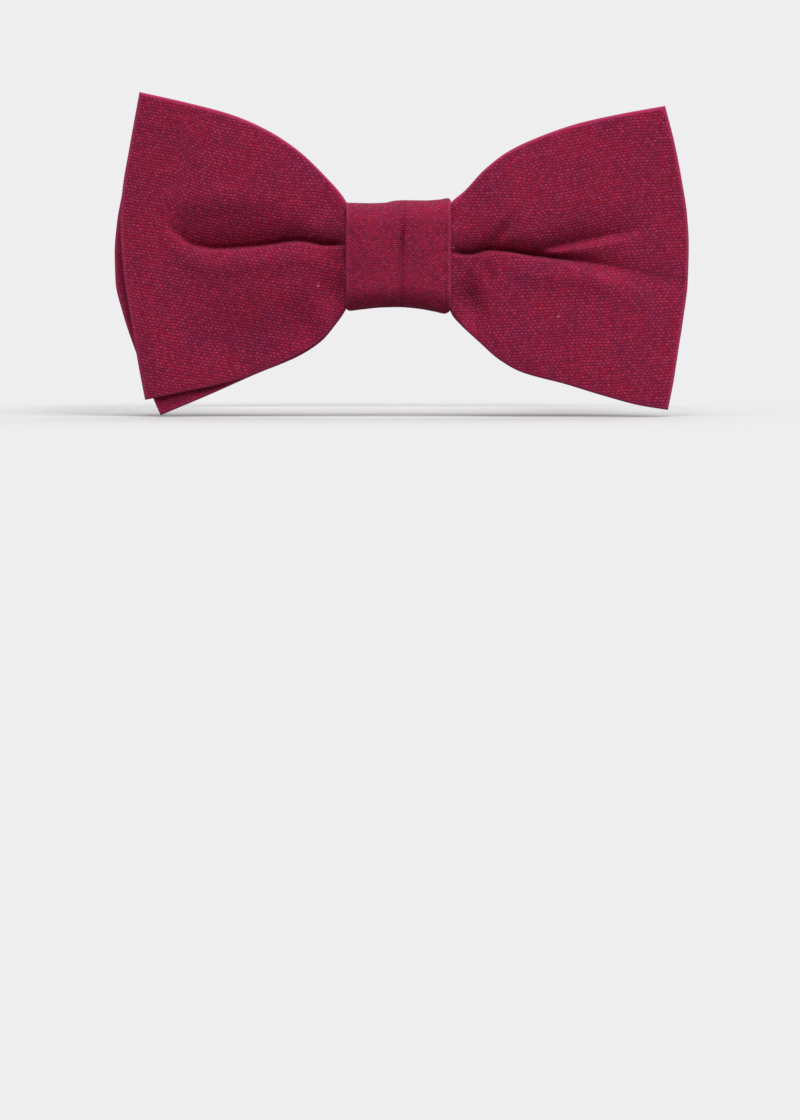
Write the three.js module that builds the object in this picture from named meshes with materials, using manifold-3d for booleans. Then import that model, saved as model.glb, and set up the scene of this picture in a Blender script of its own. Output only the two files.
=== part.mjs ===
// A pre-tied linen bow tie: two pleated bows held in a wrapped knot, on an adjustable neck band that closes
// at the nape with a hook and an eye. Millimetres, worn upright: +Z is up and the front faces -Y. The origin
// is on the flat back of the knot, which lies against the collar. Every soft piece is a thin closed solid.
import * as THREE from 'three';
import { mergeVertices } from 'three/addons/utils/BufferGeometryUtils.js';
import Module from 'manifold-3d';

// ---- The bow ----
const BOW_WIDTH = 127;
const BOW_HEIGHT = 71.5;
const PLY_THICKNESS = 0.5;
const INTERLINING_THICKNESS = 0.4;
const PLY_GAP = 0.5; // along Y, so that at least 0.3 is left square to a sloping ply
const BOW_GAP = 0.8; // between the two bows
const INTERLINING_INSET = 0.04; // share of the wing left free along each edge
const PINCH_RIPPLE = 0.9; // half the height of the pleats inside the knot
const PINCH_FOLD_PITCH = 9;
const CREASE_DEPTH = 1.8;
const CREASE_HALF_WIDTH = 6;
const WING_PUFF = 2.4; // how far the wing stands forward between the knot and its tip
const WING_SWEEP = 3.5; // how far the tips lie back
const BOW_SPREAD = 1.2; // how far the rear bow parts from the front bow at the tips

// ---- The knot ----
const KNOT_WIDTH = 23.2;
const KNOT_HEIGHT = 24.8;
const WRAP_THICKNESS = 1.2;
const WRAP_SEAM_WIDTH = 1.6;
const WRAP_SEAM_Z = -6; // the wrap's ends meet on its back, under the middle
const WRAP_BACK_RADIUS = 3.5;
const WRAP_FRONT_RADIUS = 5.5;
const KNOT_INTERLINING_THICKNESS = 0.5;
const BINDING_THICKNESS = 0.8;
const BINDING_WIDTH = 4;
const STITCH_RADIUS = 0.25;
const STITCH_SWING = 0.3;
const STITCH_PITCH = 1.5;
const TACK_THICKNESS = 0.5;
const KNOT_TACK_WIDTH = 6;
const KNOT_TACK_HEIGHT = 9;

// ---- The neck band ----
const STRAP_WIDTH = 16;
const STRAP_THICKNESS = 1.2;
const LOOP_HALF_WIDTH = 57; // from the middle to the strap's own middle, at each side of the neck
const FRONT_BEND_RADIUS = 40;
const SIDE_LENGTH = 50;
const BACK_BEND_RADIUS = 34;
const BEND_STEP = 6; // degrees between the points of a wide bend
const FOLD_STEP = 22.5; // degrees between the points of a fold round a bar
const EASE_RADIUS = 12; // of the two bends that bring a turned end back to the strap
const TURNED_END_LENGTH = 4.5; // of the turned ends, past their bends
const BAR_TACK_WIDTH = 1.5;
const BAR_TACK_HEIGHT = 12;

// ---- The slider, the hook and the eye ----
const FITTING_RAIL = 1.8; // width of the rails that run past the strap's edges
const STRAP_SIDE_GAP = 0.4;
const PLATE_THICKNESS = 0.9; // of the hook and the eye; their strap bars are as thick
const SLIDER_PLATE_THICKNESS = 1;
const SLIDER_LENGTH = 12;
const SLIDER_END_BAR = 2.5;
const SLIDER_BAR_RADIUS = 0.5;
const SLIDER_LUG_HALF_LENGTH = 1.3;
const HOOK_BAR_X = -12;
const EYE_BAR_X = 10;
const EYE_END_BAR = 1.8;
const HOOK_PLATE_END_X = -4;
const HOOK_RISE_X = -2;
const TONGUE_HALF_HEIGHT = 3;
const TONGUE_REACH = 2; // how far the tongue's tip stands out past the eye's bar, towards the neck
const TONGUE_GAP = 0.5;
const FITTING_CORNER = 1.6;

// ---- The care label ----
const LABEL_LENGTH = 25;
const LABEL_HEIGHT = 12;
const LABEL_THICKNESS = 0.4;

const GAP = 0.3; // between pieces that touch

// ---- Places that follow from the sizes ----
const halfWidth = BOW_WIDTH / 2;
const halfHeight = BOW_HEIGHT / 2;
const knotHalfWidth = KNOT_WIDTH / 2;
const knotHalfHeight = KNOT_HEIGHT / 2;
const wingRoot = knotHalfWidth + GAP; // where the wings come out of the knot
const wingReach = halfWidth - wingRoot;

const interliningHalfHeight = knotHalfHeight - WRAP_THICKNESS - GAP;
const knotRoomHalfHeight = interliningHalfHeight - KNOT_INTERLINING_THICKNESS;
const bindingHalfHeight = knotRoomHalfHeight - GAP;
const pinchHalfHeight = bindingHalfHeight - BINDING_THICKNESS - GAP;

// The strap lies deep enough in the knot for its edges to clear the rounded corners at the back.
const roomCornerRadius = Math.max(WRAP_BACK_RADIUS - WRAP_THICKNESS - GAP - KNOT_INTERLINING_THICKNESS, 0.5);
const strapInCorner = Math.max(STRAP_WIDTH / 2 - knotRoomHalfHeight + roomCornerRadius, 0);
const cornerClearance = Math.sqrt(Math.max((roomCornerRadius - GAP) ** 2 - strapInCorner ** 2, 0));
const strapDepth = Math.max(roomCornerRadius - cornerClearance, GAP);

// From the back of the knot to its front, along Y.
const interliningBack = -WRAP_THICKNESS - GAP;
const strapBack = interliningBack - KNOT_INTERLINING_THICKNESS - strapDepth;
const strapMiddle = strapBack - STRAP_THICKNESS / 2;
const tackBack = strapMiddle - STRAP_THICKNESS / 2 - GAP;
const bindingBack = tackBack - TACK_THICKNESS - GAP;
const bowsBack = bindingBack - BINDING_THICKNESS - GAP;

// Each layer of the bows, with its thickness and the gap in front of it.
const bowLayers = [
  ['rear_bow_back_ply', PLY_THICKNESS, PLY_GAP],
  ['rear_bow_interlining', INTERLINING_THICKNESS, PLY_GAP],
  ['rear_bow_face_ply', PLY_THICKNESS, BOW_GAP],
  ['front_bow_back_ply', PLY_THICKNESS, PLY_GAP],
  ['front_bow_interlining', INTERLINING_THICKNESS, PLY_GAP],
  ['front_bow_face_ply', PLY_THICKNESS, 0],
];
const bowsThickness = bowLayers.reduce((sum, [, thickness, gap]) => sum + thickness + gap, 0);
const bowsFront = bowsBack - bowsThickness - 2 * PINCH_RIPPLE;
const bindingFront = bowsFront - GAP - BINDING_THICKNESS;
const interliningFront = bindingFront - GAP - KNOT_INTERLINING_THICKNESS;
const knotFront = interliningFront - GAP - WRAP_THICKNESS;

const wasm = await Module();
wasm.setup();

// ---- Helpers ----
const cloth = (color) => new THREE.MeshStandardMaterial({ color, roughness: 0.9, metalness: 0 });
const metal = (color) => new THREE.MeshStandardMaterial({ color, roughness: 0.3, metalness: 1 });
const LINEN = '#7e1f3a';
const INTERLINING = '#e6e1d6';
const THREAD = '#6b1a31';
const NICKEL = '#b9b9b6';
const LABEL = '#efece4';

function named(name, geometry, material) {
  const mesh = new THREE.Mesh(geometry, material);
  mesh.name = name;
  return mesh;
}

function closedGeometry(geometry) {
  geometry.deleteAttribute('normal');
  geometry.deleteAttribute('uv');
  return mergeVertices(geometry, 1e-4);
}

function solid(geometry) {
  const closed = closedGeometry(geometry);
  const mesh = new wasm.Mesh({
    numProp: 3,
    vertProperties: Float32Array.from(closed.attributes.position.array),
    triVerts: Uint32Array.from(closed.index.array),
  });
  return new wasm.Manifold(mesh);
}

function fromSolid(manifold) {
  const { vertProperties, triVerts } = manifold.getMesh();
  const geometry = new THREE.BufferGeometry();
  geometry.setAttribute('position', new THREE.BufferAttribute(vertProperties, 3));
  geometry.setIndex(new THREE.BufferAttribute(triVerts, 1));
  return geometry;
}

const joined = (geometries) => fromSolid(geometries.map(solid).reduce((sum, next) => sum.add(next)));

function box(low, high) {
  const size = high.map((value, i) => value - low[i]);
  const middle = high.map((value, i) => (value + low[i]) / 2);
  return new THREE.BoxGeometry(...size).translate(...middle);
}

// A shape drawn in X and Y, as tall as given and centred on Z = 0.
function upright(shape, height) {
  const geometry = new THREE.ExtrudeGeometry(shape, { depth: height, bevelEnabled: false, curveSegments: 6 });
  return geometry.translate(0, 0, -height / 2);
}

// A shape drawn in X and Z (its Y is used as Z), from y = front to y = front + depth.
function facing(shape, front, depth) {
  const geometry = new THREE.ExtrudeGeometry(shape, { depth, bevelEnabled: false, curveSegments: 6 });
  return geometry.rotateX(Math.PI / 2).translate(0, front + depth, 0);
}

function uprightBar(x, y, radius, halfHeight) {
  return new THREE.CylinderGeometry(radius, radius, 2 * halfHeight, 16).rotateX(Math.PI / 2).translate(x, y, 0);
}

// A rectangle with rounded corners. radii: low x low y, high x low y, high x high y, low x high y.
function roundedRectangle(target, [x0, y0], [x1, y1], radii) {
  const [a, b, c, d] = radii;
  target.moveTo(x0 + a, y0);
  target.lineTo(x1 - b, y0);
  if (b > 0) target.absarc(x1 - b, y0 + b, b, -Math.PI / 2, 0, false);
  target.lineTo(x1, y1 - c);
  if (c > 0) target.absarc(x1 - c, y1 - c, c, 0, Math.PI / 2, false);
  target.lineTo(x0 + d, y1);
  if (d > 0) target.absarc(x0 + d, y1 - d, d, Math.PI / 2, Math.PI, false);
  target.lineTo(x0, y0 + a);
  if (a > 0) target.absarc(x0 + a, y0 + a, a, Math.PI, 1.5 * Math.PI, false);
  return target;
}

// ---- The bows ----
// The wings' edges, as [share of the wing's reach from the knot, share of half the bow's height]. Each top
// and bottom edge runs from just outside the knot to the corner; the outer edge runs from bottom to top.
const wings = {
  front_left: {
    top: [[0.085, 0.484], [0.204, 0.652], [0.4, 0.82], [0.66, 0.94], [0.879, 1.013]],
    bottom: [[0.085, -0.5], [0.204, -0.621], [0.4, -0.745], [0.66, -0.83], [0.855, -0.89]],
    outer: [[0.855, -0.89], [0.895, -0.56], [0.934, -0.235], [0.961, 0.15], [0.94, 0.55], [0.879, 1.013]],
  },
  rear_left: {
    top: [[0.085, 0.46], [0.204, 0.63], [0.4, 0.8], [0.66, 0.92], [0.87, 0.975]],
    bottom: [[0.085, -0.5], [0.204, -0.621], [0.4, -0.742], [0.6, -0.87], [0.79, -0.985]],
    outer: [[0.79, -0.985], [0.875, -0.68], [0.954, -0.352], [0.988, 0], [0.965, 0.4], [0.87, 0.975]],
  },
  front_right: {
    top: [[0.1, 0.47], [0.2, 0.61], [0.36, 0.73], [0.6, 0.84], [0.909, 0.926]],
    bottom: [[0.1, -0.51], [0.2, -0.635], [0.36, -0.745], [0.6, -0.85], [0.923, -0.951]],
    outer: [[0.923, -0.951], [0.967, -0.585], [1.003, -0.22], [1.012, 0.1], [0.985, 0.46], [0.909, 0.926]],
  },
  rear_right: {
    top: [[0.1, 0.45], [0.2, 0.59], [0.36, 0.71], [0.6, 0.82], [0.895, 0.905]],
    bottom: [[0.1, -0.49], [0.2, -0.615], [0.36, -0.725], [0.6, -0.83], [0.909, -0.93]],
    outer: [[0.909, -0.93], [0.95, -0.57], [0.985, -0.22], [0.995, 0.1], [0.97, 0.45], [0.895, 0.905]],
  },
};
// The crease runs out of the knot along each wing: its height over the middle, at the knot and at its end.
const creases = {
  left: { start: 2.4, end: 4.5, fadeFrom: 0.45, fadeTo: 0.8 },
  right: { start: 0.6, end: 1.2, fadeFrom: 0.3, fadeTo: 0.8 },
};
const KNOT_MOUTH = 0.01; // share of the wing's reach over which it opens out of the knot
const WING_COLUMNS = 12;
const KNOT_COLUMNS = 4;
const BOW_ROWS = 14;
const INSET_FREE_COLUMNS = 5; // beside the knot, where the interlining is as high as the plies
const BOW_COLUMNS = 2 * WING_COLUMNS + KNOT_COLUMNS;

function edgeCurve(points) {
  return new THREE.SplineCurve(points.map(([along, up]) => new THREE.Vector2(along * wingReach, up * halfHeight)));
}

// A wing between its four edges. q runs from the knot to the tip and t from the bottom to the top.
function wingSurface({ top, bottom, outer }) {
  const mouth = [[0, pinchHalfHeight / halfHeight], [KNOT_MOUTH, knotHalfHeight / halfHeight]];
  const topCurve = edgeCurve([...mouth, ...top]);
  const bottomCurve = edgeCurve([...mouth.map(([along, up]) => [along, -up]), ...bottom]);
  const outerCurve = edgeCurve(outer);
  const [lowIn, lowOut] = [bottomCurve.getPoint(0), bottomCurve.getPoint(1)];
  const [highIn, highOut] = [topCurve.getPoint(0), topCurve.getPoint(1)];
  return (q, t) => {
    const across = bottomCurve.getPoint(q).lerp(topCurve.getPoint(q), t);
    const inner = lowIn.clone().lerp(highIn, t);
    const upright = inner.lerp(outerCurve.getPoint(t), q);
    const corners = lowIn.clone().lerp(highIn, t).lerp(lowOut.clone().lerp(highOut, t), q);
    return across.add(upright).sub(corners);
  };
}

const smooth = THREE.MathUtils.smoothstep;

// How far the cloth lies behind its flat place, at x and z. It is the same for all the layers, so they nest.
function relief(x, z) {
  const outward = THREE.MathUtils.clamp((Math.abs(x) - wingRoot) / wingReach, 0, 1);
  const crease = x < 0 ? creases.left : creases.right;
  const creaseZ = THREE.MathUtils.lerp(crease.start, crease.end, outward);
  const creaseDepth = CREASE_DEPTH * (1 - smooth(outward, crease.fadeFrom, crease.fadeTo));
  const valley = creaseDepth * Math.exp(-(((z - creaseZ) / CREASE_HALF_WIDTH) ** 2));
  const puff = WING_PUFF * smooth(outward, 0, 0.3) * (1 - outward) * Math.cos((z / halfHeight) * 1.3);
  const wing = valley - puff + WING_SWEEP * outward ** 2;
  const pleats = PINCH_RIPPLE * Math.cos((2 * Math.PI * z) / PINCH_FOLD_PITCH);
  const open = smooth(Math.abs(x), knotHalfWidth - 2, knotHalfWidth + 6);
  return THREE.MathUtils.lerp(pleats, wing, open);
}

function bowLayer(bow, back, thickness, inset) {
  const left = wingSurface(wings[`${bow}_left`]);
  const right = wingSurface(wings[`${bow}_right`]);
  const spread = bow === 'rear' ? BOW_SPREAD : 0;
  const geometry = closedGeometry(new THREE.BoxGeometry(1, 1, 1, BOW_COLUMNS, BOW_ROWS, 1));
  const { position } = geometry.attributes;
  for (let i = 0; i < position.count; i += 1) {
    const column = Math.round((position.getX(i) + 0.5) * BOW_COLUMNS);
    const isNearKnot = Math.abs(2 * column - BOW_COLUMNS) <= KNOT_COLUMNS + 2 * INSET_FREE_COLUMNS;
    const edgeInset = isNearKnot ? 0 : inset;
    const t = THREE.MathUtils.clamp(position.getY(i) + 0.5, edgeInset, 1 - edgeInset);
    const layer = position.getZ(i) + 0.5;
    const place = new THREE.Vector2();
    if (column <= WING_COLUMNS) {
      const at = left(Math.min(1 - column / WING_COLUMNS, 1 - inset), t);
      place.set(-wingRoot - at.x, at.y);
    } else if (column >= WING_COLUMNS + KNOT_COLUMNS) {
      const at = right(Math.min((column - WING_COLUMNS - KNOT_COLUMNS) / WING_COLUMNS, 1 - inset), t);
      place.set(wingRoot + at.x, at.y);
    } else {
      const share = (column - WING_COLUMNS) / KNOT_COLUMNS;
      place.set((2 * share - 1) * wingRoot, (2 * t - 1) * pinchHalfHeight);
    }
    const outward = THREE.MathUtils.clamp((Math.abs(place.x) - wingRoot) / wingReach, 0, 1);
    const y = back - PINCH_RIPPLE - layer * thickness + spread * outward ** 2 + relief(place.x, place.y);
    position.setXYZ(i, place.x, y, place.y);
  }
  return geometry;
}

function bowMeshes() {
  let back = bowsBack;
  return bowLayers.map(([name, thickness, gap]) => {
    const bow = name.split('_')[0];
    const isInterlining = name.endsWith('interlining');
    const inset = isInterlining ? INTERLINING_INSET : 0;
    const mesh = named(name, bowLayer(bow, back, thickness, inset), cloth(isInterlining ? INTERLINING : LINEN));
    back -= thickness + gap;
    return mesh;
  });
}

// ---- The knot ----
// A ring round the X axis, between two rounded rectangles in Y and Z. The back is the high end of y.
function knotRing(outer, inner, width) {
  const shape = roundedRectangle(new THREE.Shape(), ...outer);
  shape.holes.push(roundedRectangle(new THREE.Path(), ...inner));
  const geometry = new THREE.ExtrudeGeometry(shape, { depth: width, bevelEnabled: false, curveSegments: 8 });
  // The shape's own X becomes Y, its Y becomes Z, and its depth runs along X.
  geometry.applyMatrix4(new THREE.Matrix4().set(0, 0, 1, 0, 1, 0, 0, 0, 0, 1, 0, 0, 0, 0, 0, 1));
  return geometry.translate(-width / 2, 0, 0);
}

function knotOutline(inset) {
  const front = Math.max(WRAP_FRONT_RADIUS - inset, 0.5);
  const back = Math.max(WRAP_BACK_RADIUS - inset, 0.5);
  const low = [knotFront + inset, -knotHalfHeight + inset];
  const high = [-inset, knotHalfHeight - inset];
  return [low, high, [front, back, back, front]];
}

function knotWrap() {
  const ring = solid(knotRing(knotOutline(0), knotOutline(WRAP_THICKNESS), KNOT_WIDTH));
  const low = [-knotHalfWidth - 1, -WRAP_THICKNESS - 1, WRAP_SEAM_Z - WRAP_SEAM_WIDTH / 2];
  const high = [knotHalfWidth + 1, 1, WRAP_SEAM_Z + WRAP_SEAM_WIDTH / 2];
  return fromSolid(ring.subtract(solid(box(low, high))));
}

function knotInterlining() {
  const outerInset = WRAP_THICKNESS + GAP;
  const innerInset = outerInset + KNOT_INTERLINING_THICKNESS;
  return knotRing(knotOutline(outerInset), knotOutline(innerInset), KNOT_WIDTH - 2 * GAP);
}

function pleatBinding() {
  const cornerInset = WRAP_THICKNESS + KNOT_INTERLINING_THICKNESS + 2 * GAP;
  const front = WRAP_FRONT_RADIUS - cornerInset;
  const back = WRAP_BACK_RADIUS - cornerInset;
  const outline = (inset) => [
    [bindingFront + inset, -bindingHalfHeight + inset],
    [bindingBack - inset, bindingHalfHeight - inset],
    [front - inset, back - inset, back - inset, front - inset],
  ];
  return knotRing(outline(0), outline(BINDING_THICKNESS), BINDING_WIDTH);
}

// The thread that closes the wrap runs to and fro between its two ends.
function closingStitch() {
  const count = Math.floor((KNOT_WIDTH - 3) / STITCH_PITCH);
  const points = [];
  for (let i = 0; i <= count; i += 1) {
    const z = WRAP_SEAM_Z + (i % 2 === 0 ? STITCH_SWING : -STITCH_SWING);
    points.push(new THREE.Vector3((i - count / 2) * STITCH_PITCH, -WRAP_THICKNESS / 2, z));
  }
  const section = new THREE.Shape();
  section.absarc(0, 0, STITCH_RADIUS, 0, 2 * Math.PI, false);
  const extrudePath = new THREE.CatmullRomCurve3(points);
  return new THREE.ExtrudeGeometry(section, { steps: 3 * count, curveSegments: 6, extrudePath });
}

function bandToKnotTack() {
  const low = [-KNOT_TACK_WIDTH / 2, tackBack - TACK_THICKNESS, -KNOT_TACK_HEIGHT / 2];
  const high = [KNOT_TACK_WIDTH / 2, tackBack, KNOT_TACK_HEIGHT / 2];
  return box(low, high);
}

// ---- The neck band ----
// Walks in the XY plane and notes the strap's middle line. A positive turn is to the left.
function walker(x, y, heading) {
  const points = [];
  const state = { x, y, heading };
  const note = () => points.push({ ...state });
  note();
  const walk = {
    points,
    ahead(length) {
      state.x += length * Math.cos(state.heading);
      state.y += length * Math.sin(state.heading);
      note();
      return walk;
    },
    turn(radius, degrees, step = BEND_STEP) {
      const count = Math.max(2, Math.round(Math.abs(degrees) / step));
      const side = Math.sign(degrees);
      const centre = [state.x - side * radius * Math.sin(state.heading), state.y + side * radius * Math.cos(state.heading)];
      for (let i = 0; i < count; i += 1) {
        state.heading += THREE.MathUtils.degToRad(degrees / count);
        state.x = centre[0] + side * radius * Math.sin(state.heading);
        state.y = centre[1] - side * radius * Math.cos(state.heading);
        note();
      }
      return walk;
    },
  };
  return walk;
}

// Two small bends that move the strap sideways without turning it, to the left if side is 1.
function ease(walk, shift, side) {
  const angle = THREE.MathUtils.radToDeg(Math.acos(1 - shift / (2 * EASE_RADIUS)));
  return walk.turn(EASE_RADIUS, side * angle).turn(EASE_RADIUS, -side * angle);
}

const easeLength = (shift) => 2 * EASE_RADIUS * Math.sin(Math.acos(1 - shift / (2 * EASE_RADIUS)));

function strapSide(points, offset) {
  return points.map((p) => new THREE.Vector2(p.x - offset * Math.sin(p.heading), p.y + offset * Math.cos(p.heading)));
}

function strap(points) {
  const left = strapSide(points, STRAP_THICKNESS / 2);
  const right = strapSide(points, -STRAP_THICKNESS / 2);
  return upright(new THREE.Shape([...right, ...left.reverse()]), STRAP_WIDTH);
}

const frontHalfStraight = LOOP_HALF_WIDTH - FRONT_BEND_RADIUS;
const backHalfStraight = LOOP_HALF_WIDTH - BACK_BEND_RADIUS;
const sideStart = strapMiddle + FRONT_BEND_RADIUS;
const sideEnd = sideStart + SIDE_LENGTH;
const napeMiddle = sideEnd + BACK_BEND_RADIUS;
const layerPitch = STRAP_THICKNESS + GAP; // between the middles of two layers of strap that lie together
const foldRadius = PLATE_THICKNESS / 2 + GAP + STRAP_THICKNESS / 2;
const foldReach = foldRadius + STRAP_THICKNESS / 2;
const foldClosing = 2 * foldRadius - layerPitch;
const fittingY = napeMiddle - foldRadius;

function halfLoop(walk, side) {
  return walk
    .ahead(frontHalfStraight)
    .turn(FRONT_BEND_RADIUS, side * 90)
    .ahead(SIDE_LENGTH)
    .turn(BACK_BEND_RADIUS, side * 90);
}

// From the middle of the knot, round one side to the eye and back on itself, and round the other to the hook.
function neckBand() {
  const eyeSide = halfLoop(walker(0, strapMiddle, 0), 1);
  eyeSide.ahead(backHalfStraight - EYE_BAR_X).turn(foldRadius, 180, FOLD_STEP);
  ease(eyeSide, foldClosing, 1).ahead(TURNED_END_LENGTH);
  const hookSide = halfLoop(walker(0, strapMiddle, Math.PI), -1);
  hookSide.ahead(backHalfStraight + HOOK_BAR_X).turn(foldRadius, -180, FOLD_STEP);
  const reversed = hookSide.points.slice(1).reverse().map((p) => ({ ...p, heading: p.heading + Math.PI }));
  return strap([...reversed, ...eyeSide.points]);
}

// ---- The slider and the strap's end that is sewn round its middle bar, on the hook's side ----
const sideX = -LOOP_HALF_WIDTH;
const returnX = sideX + layerPitch;
const sliderFoldRadius = SLIDER_BAR_RADIUS + GAP + STRAP_THICKNESS / 2;
const sliderBarX = returnX + sliderFoldRadius;
const sewnEndClosing = 2 * sliderFoldRadius - layerPitch;
const sewnEndLength = easeLength(sewnEndClosing) + TURNED_END_LENGTH;
// The slider stands in the middle of its travel, which the straight side leaves to it and to the sewn end.
const sliderY = (sideStart + SLIDER_LENGTH / 2 + sideEnd - sewnEndLength) / 2;

function returnRun() {
  const walk = walker(HOOK_BAR_X - GAP, fittingY - foldRadius, Math.PI);
  ease(walk, foldClosing, -1);
  walk.ahead(backHalfStraight + HOOK_BAR_X - GAP - easeLength(foldClosing));
  walk.turn(BACK_BEND_RADIUS - layerPitch, 90).ahead(sideEnd - sliderY - sewnEndLength - GAP);
  return strap(walk.points);
}

function sewnEnd() {
  const walk = walker(returnX, sliderY + sewnEndLength, -Math.PI / 2);
  walk.ahead(sewnEndLength).turn(sliderFoldRadius, 180, FOLD_STEP);
  ease(walk, sewnEndClosing, 1).ahead(TURNED_END_LENGTH);
  return strap(walk.points);
}

const railHalfHeight = STRAP_WIDTH / 2 + STRAP_SIDE_GAP + FITTING_RAIL;

function slider() {
  const plateInner = sideX - STRAP_THICKNESS / 2 - GAP;
  const plateOuter = plateInner - SLIDER_PLATE_THICKNESS;
  const half = SLIDER_LENGTH / 2;
  // The plate lies outside the strap, with one window between its two end bars.
  const plate = roundedRectangle(
    new THREE.Shape(),
    [-half, -railHalfHeight],
    [half, railHalfHeight],
    Array(4).fill(FITTING_CORNER),
  );
  const windowLow = [-half + SLIDER_END_BAR, -railHalfHeight + FITTING_RAIL];
  const windowHigh = [half - SLIDER_END_BAR, railHalfHeight - FITTING_RAIL];
  plate.holes.push(roundedRectangle(new THREE.Path(), windowLow, windowHigh, [0, 0, 0, 0]));
  const plateGeometry = facing(plate, 0, SLIDER_PLATE_THICKNESS);
  plateGeometry.rotateZ(Math.PI / 2).translate(plateOuter + SLIDER_PLATE_THICKNESS, sliderY, 0);
  // Two lugs carry the middle bar past the strap's edges.
  const lugs = [-1, 1].map((side) => {
    const ends = [side * (railHalfHeight - FITTING_RAIL), side * railHalfHeight].sort((a, b) => a - b);
    const low = [plateOuter + SLIDER_PLATE_THICKNESS / 2, sliderY - SLIDER_LUG_HALF_LENGTH, ends[0]];
    const high = [sliderBarX + SLIDER_BAR_RADIUS, sliderY + SLIDER_LUG_HALF_LENGTH, ends[1]];
    return box(low, high);
  });
  return joined([plateGeometry, ...lugs, uprightBar(sliderBarX, sliderY, SLIDER_BAR_RADIUS, railHalfHeight)]);
}

// ---- The hook and the eye, closed at the nape ----
const plateLow = fittingY - PLATE_THICKNESS / 2;
const plateHigh = fittingY + PLATE_THICKNESS / 2;
const windowHalfHeight = railHalfHeight - FITTING_RAIL;

const hookWindowEnd = HOOK_BAR_X + foldReach + GAP;

// A flat plate with a window for the strap, and a round bar for the strap to turn about.
function strapFitting(outline, barX, windowStart, windowEnd) {
  const plate = solid(facing(outline, plateLow, PLATE_THICKNESS));
  const low = [windowStart, plateLow - 1, -windowHalfHeight];
  const high = [windowEnd, plateHigh + 1, windowHalfHeight];
  const bar = solid(uprightBar(barX, fittingY, PLATE_THICKNESS / 2, railHalfHeight));
  return fromSolid(plate.subtract(solid(box(low, high))).add(bar));
}

function hookTongue() {
  const middle = plateHigh + GAP + PLATE_THICKNESS / 2;
  const tipX = EYE_END_BAR + TONGUE_GAP + PLATE_THICKNESS / 2;
  const tipY = plateLow - TONGUE_REACH + PLATE_THICKNESS;
  const bend = PLATE_THICKNESS;
  const rise = middle - fittingY;
  const run = HOOK_RISE_X - HOOK_PLATE_END_X;
  const slope = Math.atan2(rise, run);
  const walk = walker(hookWindowEnd, fittingY, 0).ahead(HOOK_PLATE_END_X - hookWindowEnd);
  walk.points.at(-1).heading = slope / 2;
  walk.points.push({ x: HOOK_RISE_X, y: middle, heading: slope / 2 });
  const tip = walker(tipX - bend, middle, 0).turn(bend, -90, FOLD_STEP).ahead(middle - bend - tipY);
  const points = [...walk.points, ...tip.points];
  const left = strapSide(points, PLATE_THICKNESS / 2);
  const right = strapSide(points, -PLATE_THICKNESS / 2);
  return upright(new THREE.Shape([...right, ...left.reverse()]), 2 * TONGUE_HALF_HEIGHT);
}

function hook() {
  const plate = new THREE.Shape();
  plate.moveTo(HOOK_BAR_X, -railHalfHeight);
  plate.lineTo(hookWindowEnd + FITTING_CORNER, -railHalfHeight);
  plate.lineTo(HOOK_PLATE_END_X, -TONGUE_HALF_HEIGHT);
  plate.lineTo(HOOK_PLATE_END_X, TONGUE_HALF_HEIGHT);
  plate.lineTo(hookWindowEnd + FITTING_CORNER, railHalfHeight);
  plate.lineTo(HOOK_BAR_X, railHalfHeight);
  return joined([strapFitting(plate, HOOK_BAR_X, HOOK_BAR_X - 1, hookWindowEnd), hookTongue()]);
}

function eye() {
  const frame = roundedRectangle(
    new THREE.Shape(),
    [0, -railHalfHeight],
    [EYE_BAR_X, railHalfHeight],
    [FITTING_CORNER, 0, 0, FITTING_CORNER],
  );
  return strapFitting(frame, EYE_BAR_X, EYE_END_BAR, EYE_BAR_X + 1);
}

// ---- Bar tacks and label, on the side of the strap that faces the neck ----
function eyeBarTack() {
  const face = napeMiddle - layerPitch - STRAP_THICKNESS / 2 - GAP;
  const x = EYE_BAR_X + easeLength(foldClosing) + TURNED_END_LENGTH / 2;
  const low = [x - BAR_TACK_WIDTH / 2, face - TACK_THICKNESS, -BAR_TACK_HEIGHT / 2];
  return box(low, [x + BAR_TACK_WIDTH / 2, face, BAR_TACK_HEIGHT / 2]);
}

function sliderBarTack() {
  const face = returnX + layerPitch + STRAP_THICKNESS / 2 + GAP;
  const y = sliderY + easeLength(sewnEndClosing) + TURNED_END_LENGTH / 2;
  const low = [face, y - BAR_TACK_WIDTH / 2, -BAR_TACK_HEIGHT / 2];
  return box(low, [face + TACK_THICKNESS, y + BAR_TACK_WIDTH / 2, BAR_TACK_HEIGHT / 2]);
}

function careLabel() {
  const face = LOOP_HALF_WIDTH - STRAP_THICKNESS / 2 - GAP;
  const middle = (sideStart + sideEnd) / 2;
  const low = [face - LABEL_THICKNESS, middle - LABEL_LENGTH / 2, -LABEL_HEIGHT / 2];
  return box(low, [face, middle + LABEL_LENGTH / 2, LABEL_HEIGHT / 2]);
}

// ---- Assembly ----
const bowTie = new THREE.Group();
bowTie.name = 'bow_tie';
bowTie.add(...bowMeshes());
bowTie.add(named('knot_wrap', knotWrap(), cloth(LINEN)));
bowTie.add(named('knot_interlining', knotInterlining(), cloth(INTERLINING)));
bowTie.add(named('pleat_binding_thread', pleatBinding(), cloth(THREAD)));
bowTie.add(named('knot_closing_stitch', closingStitch(), cloth(THREAD)));
bowTie.add(named('band_to_knot_tack', bandToKnotTack(), cloth(THREAD)));

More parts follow.
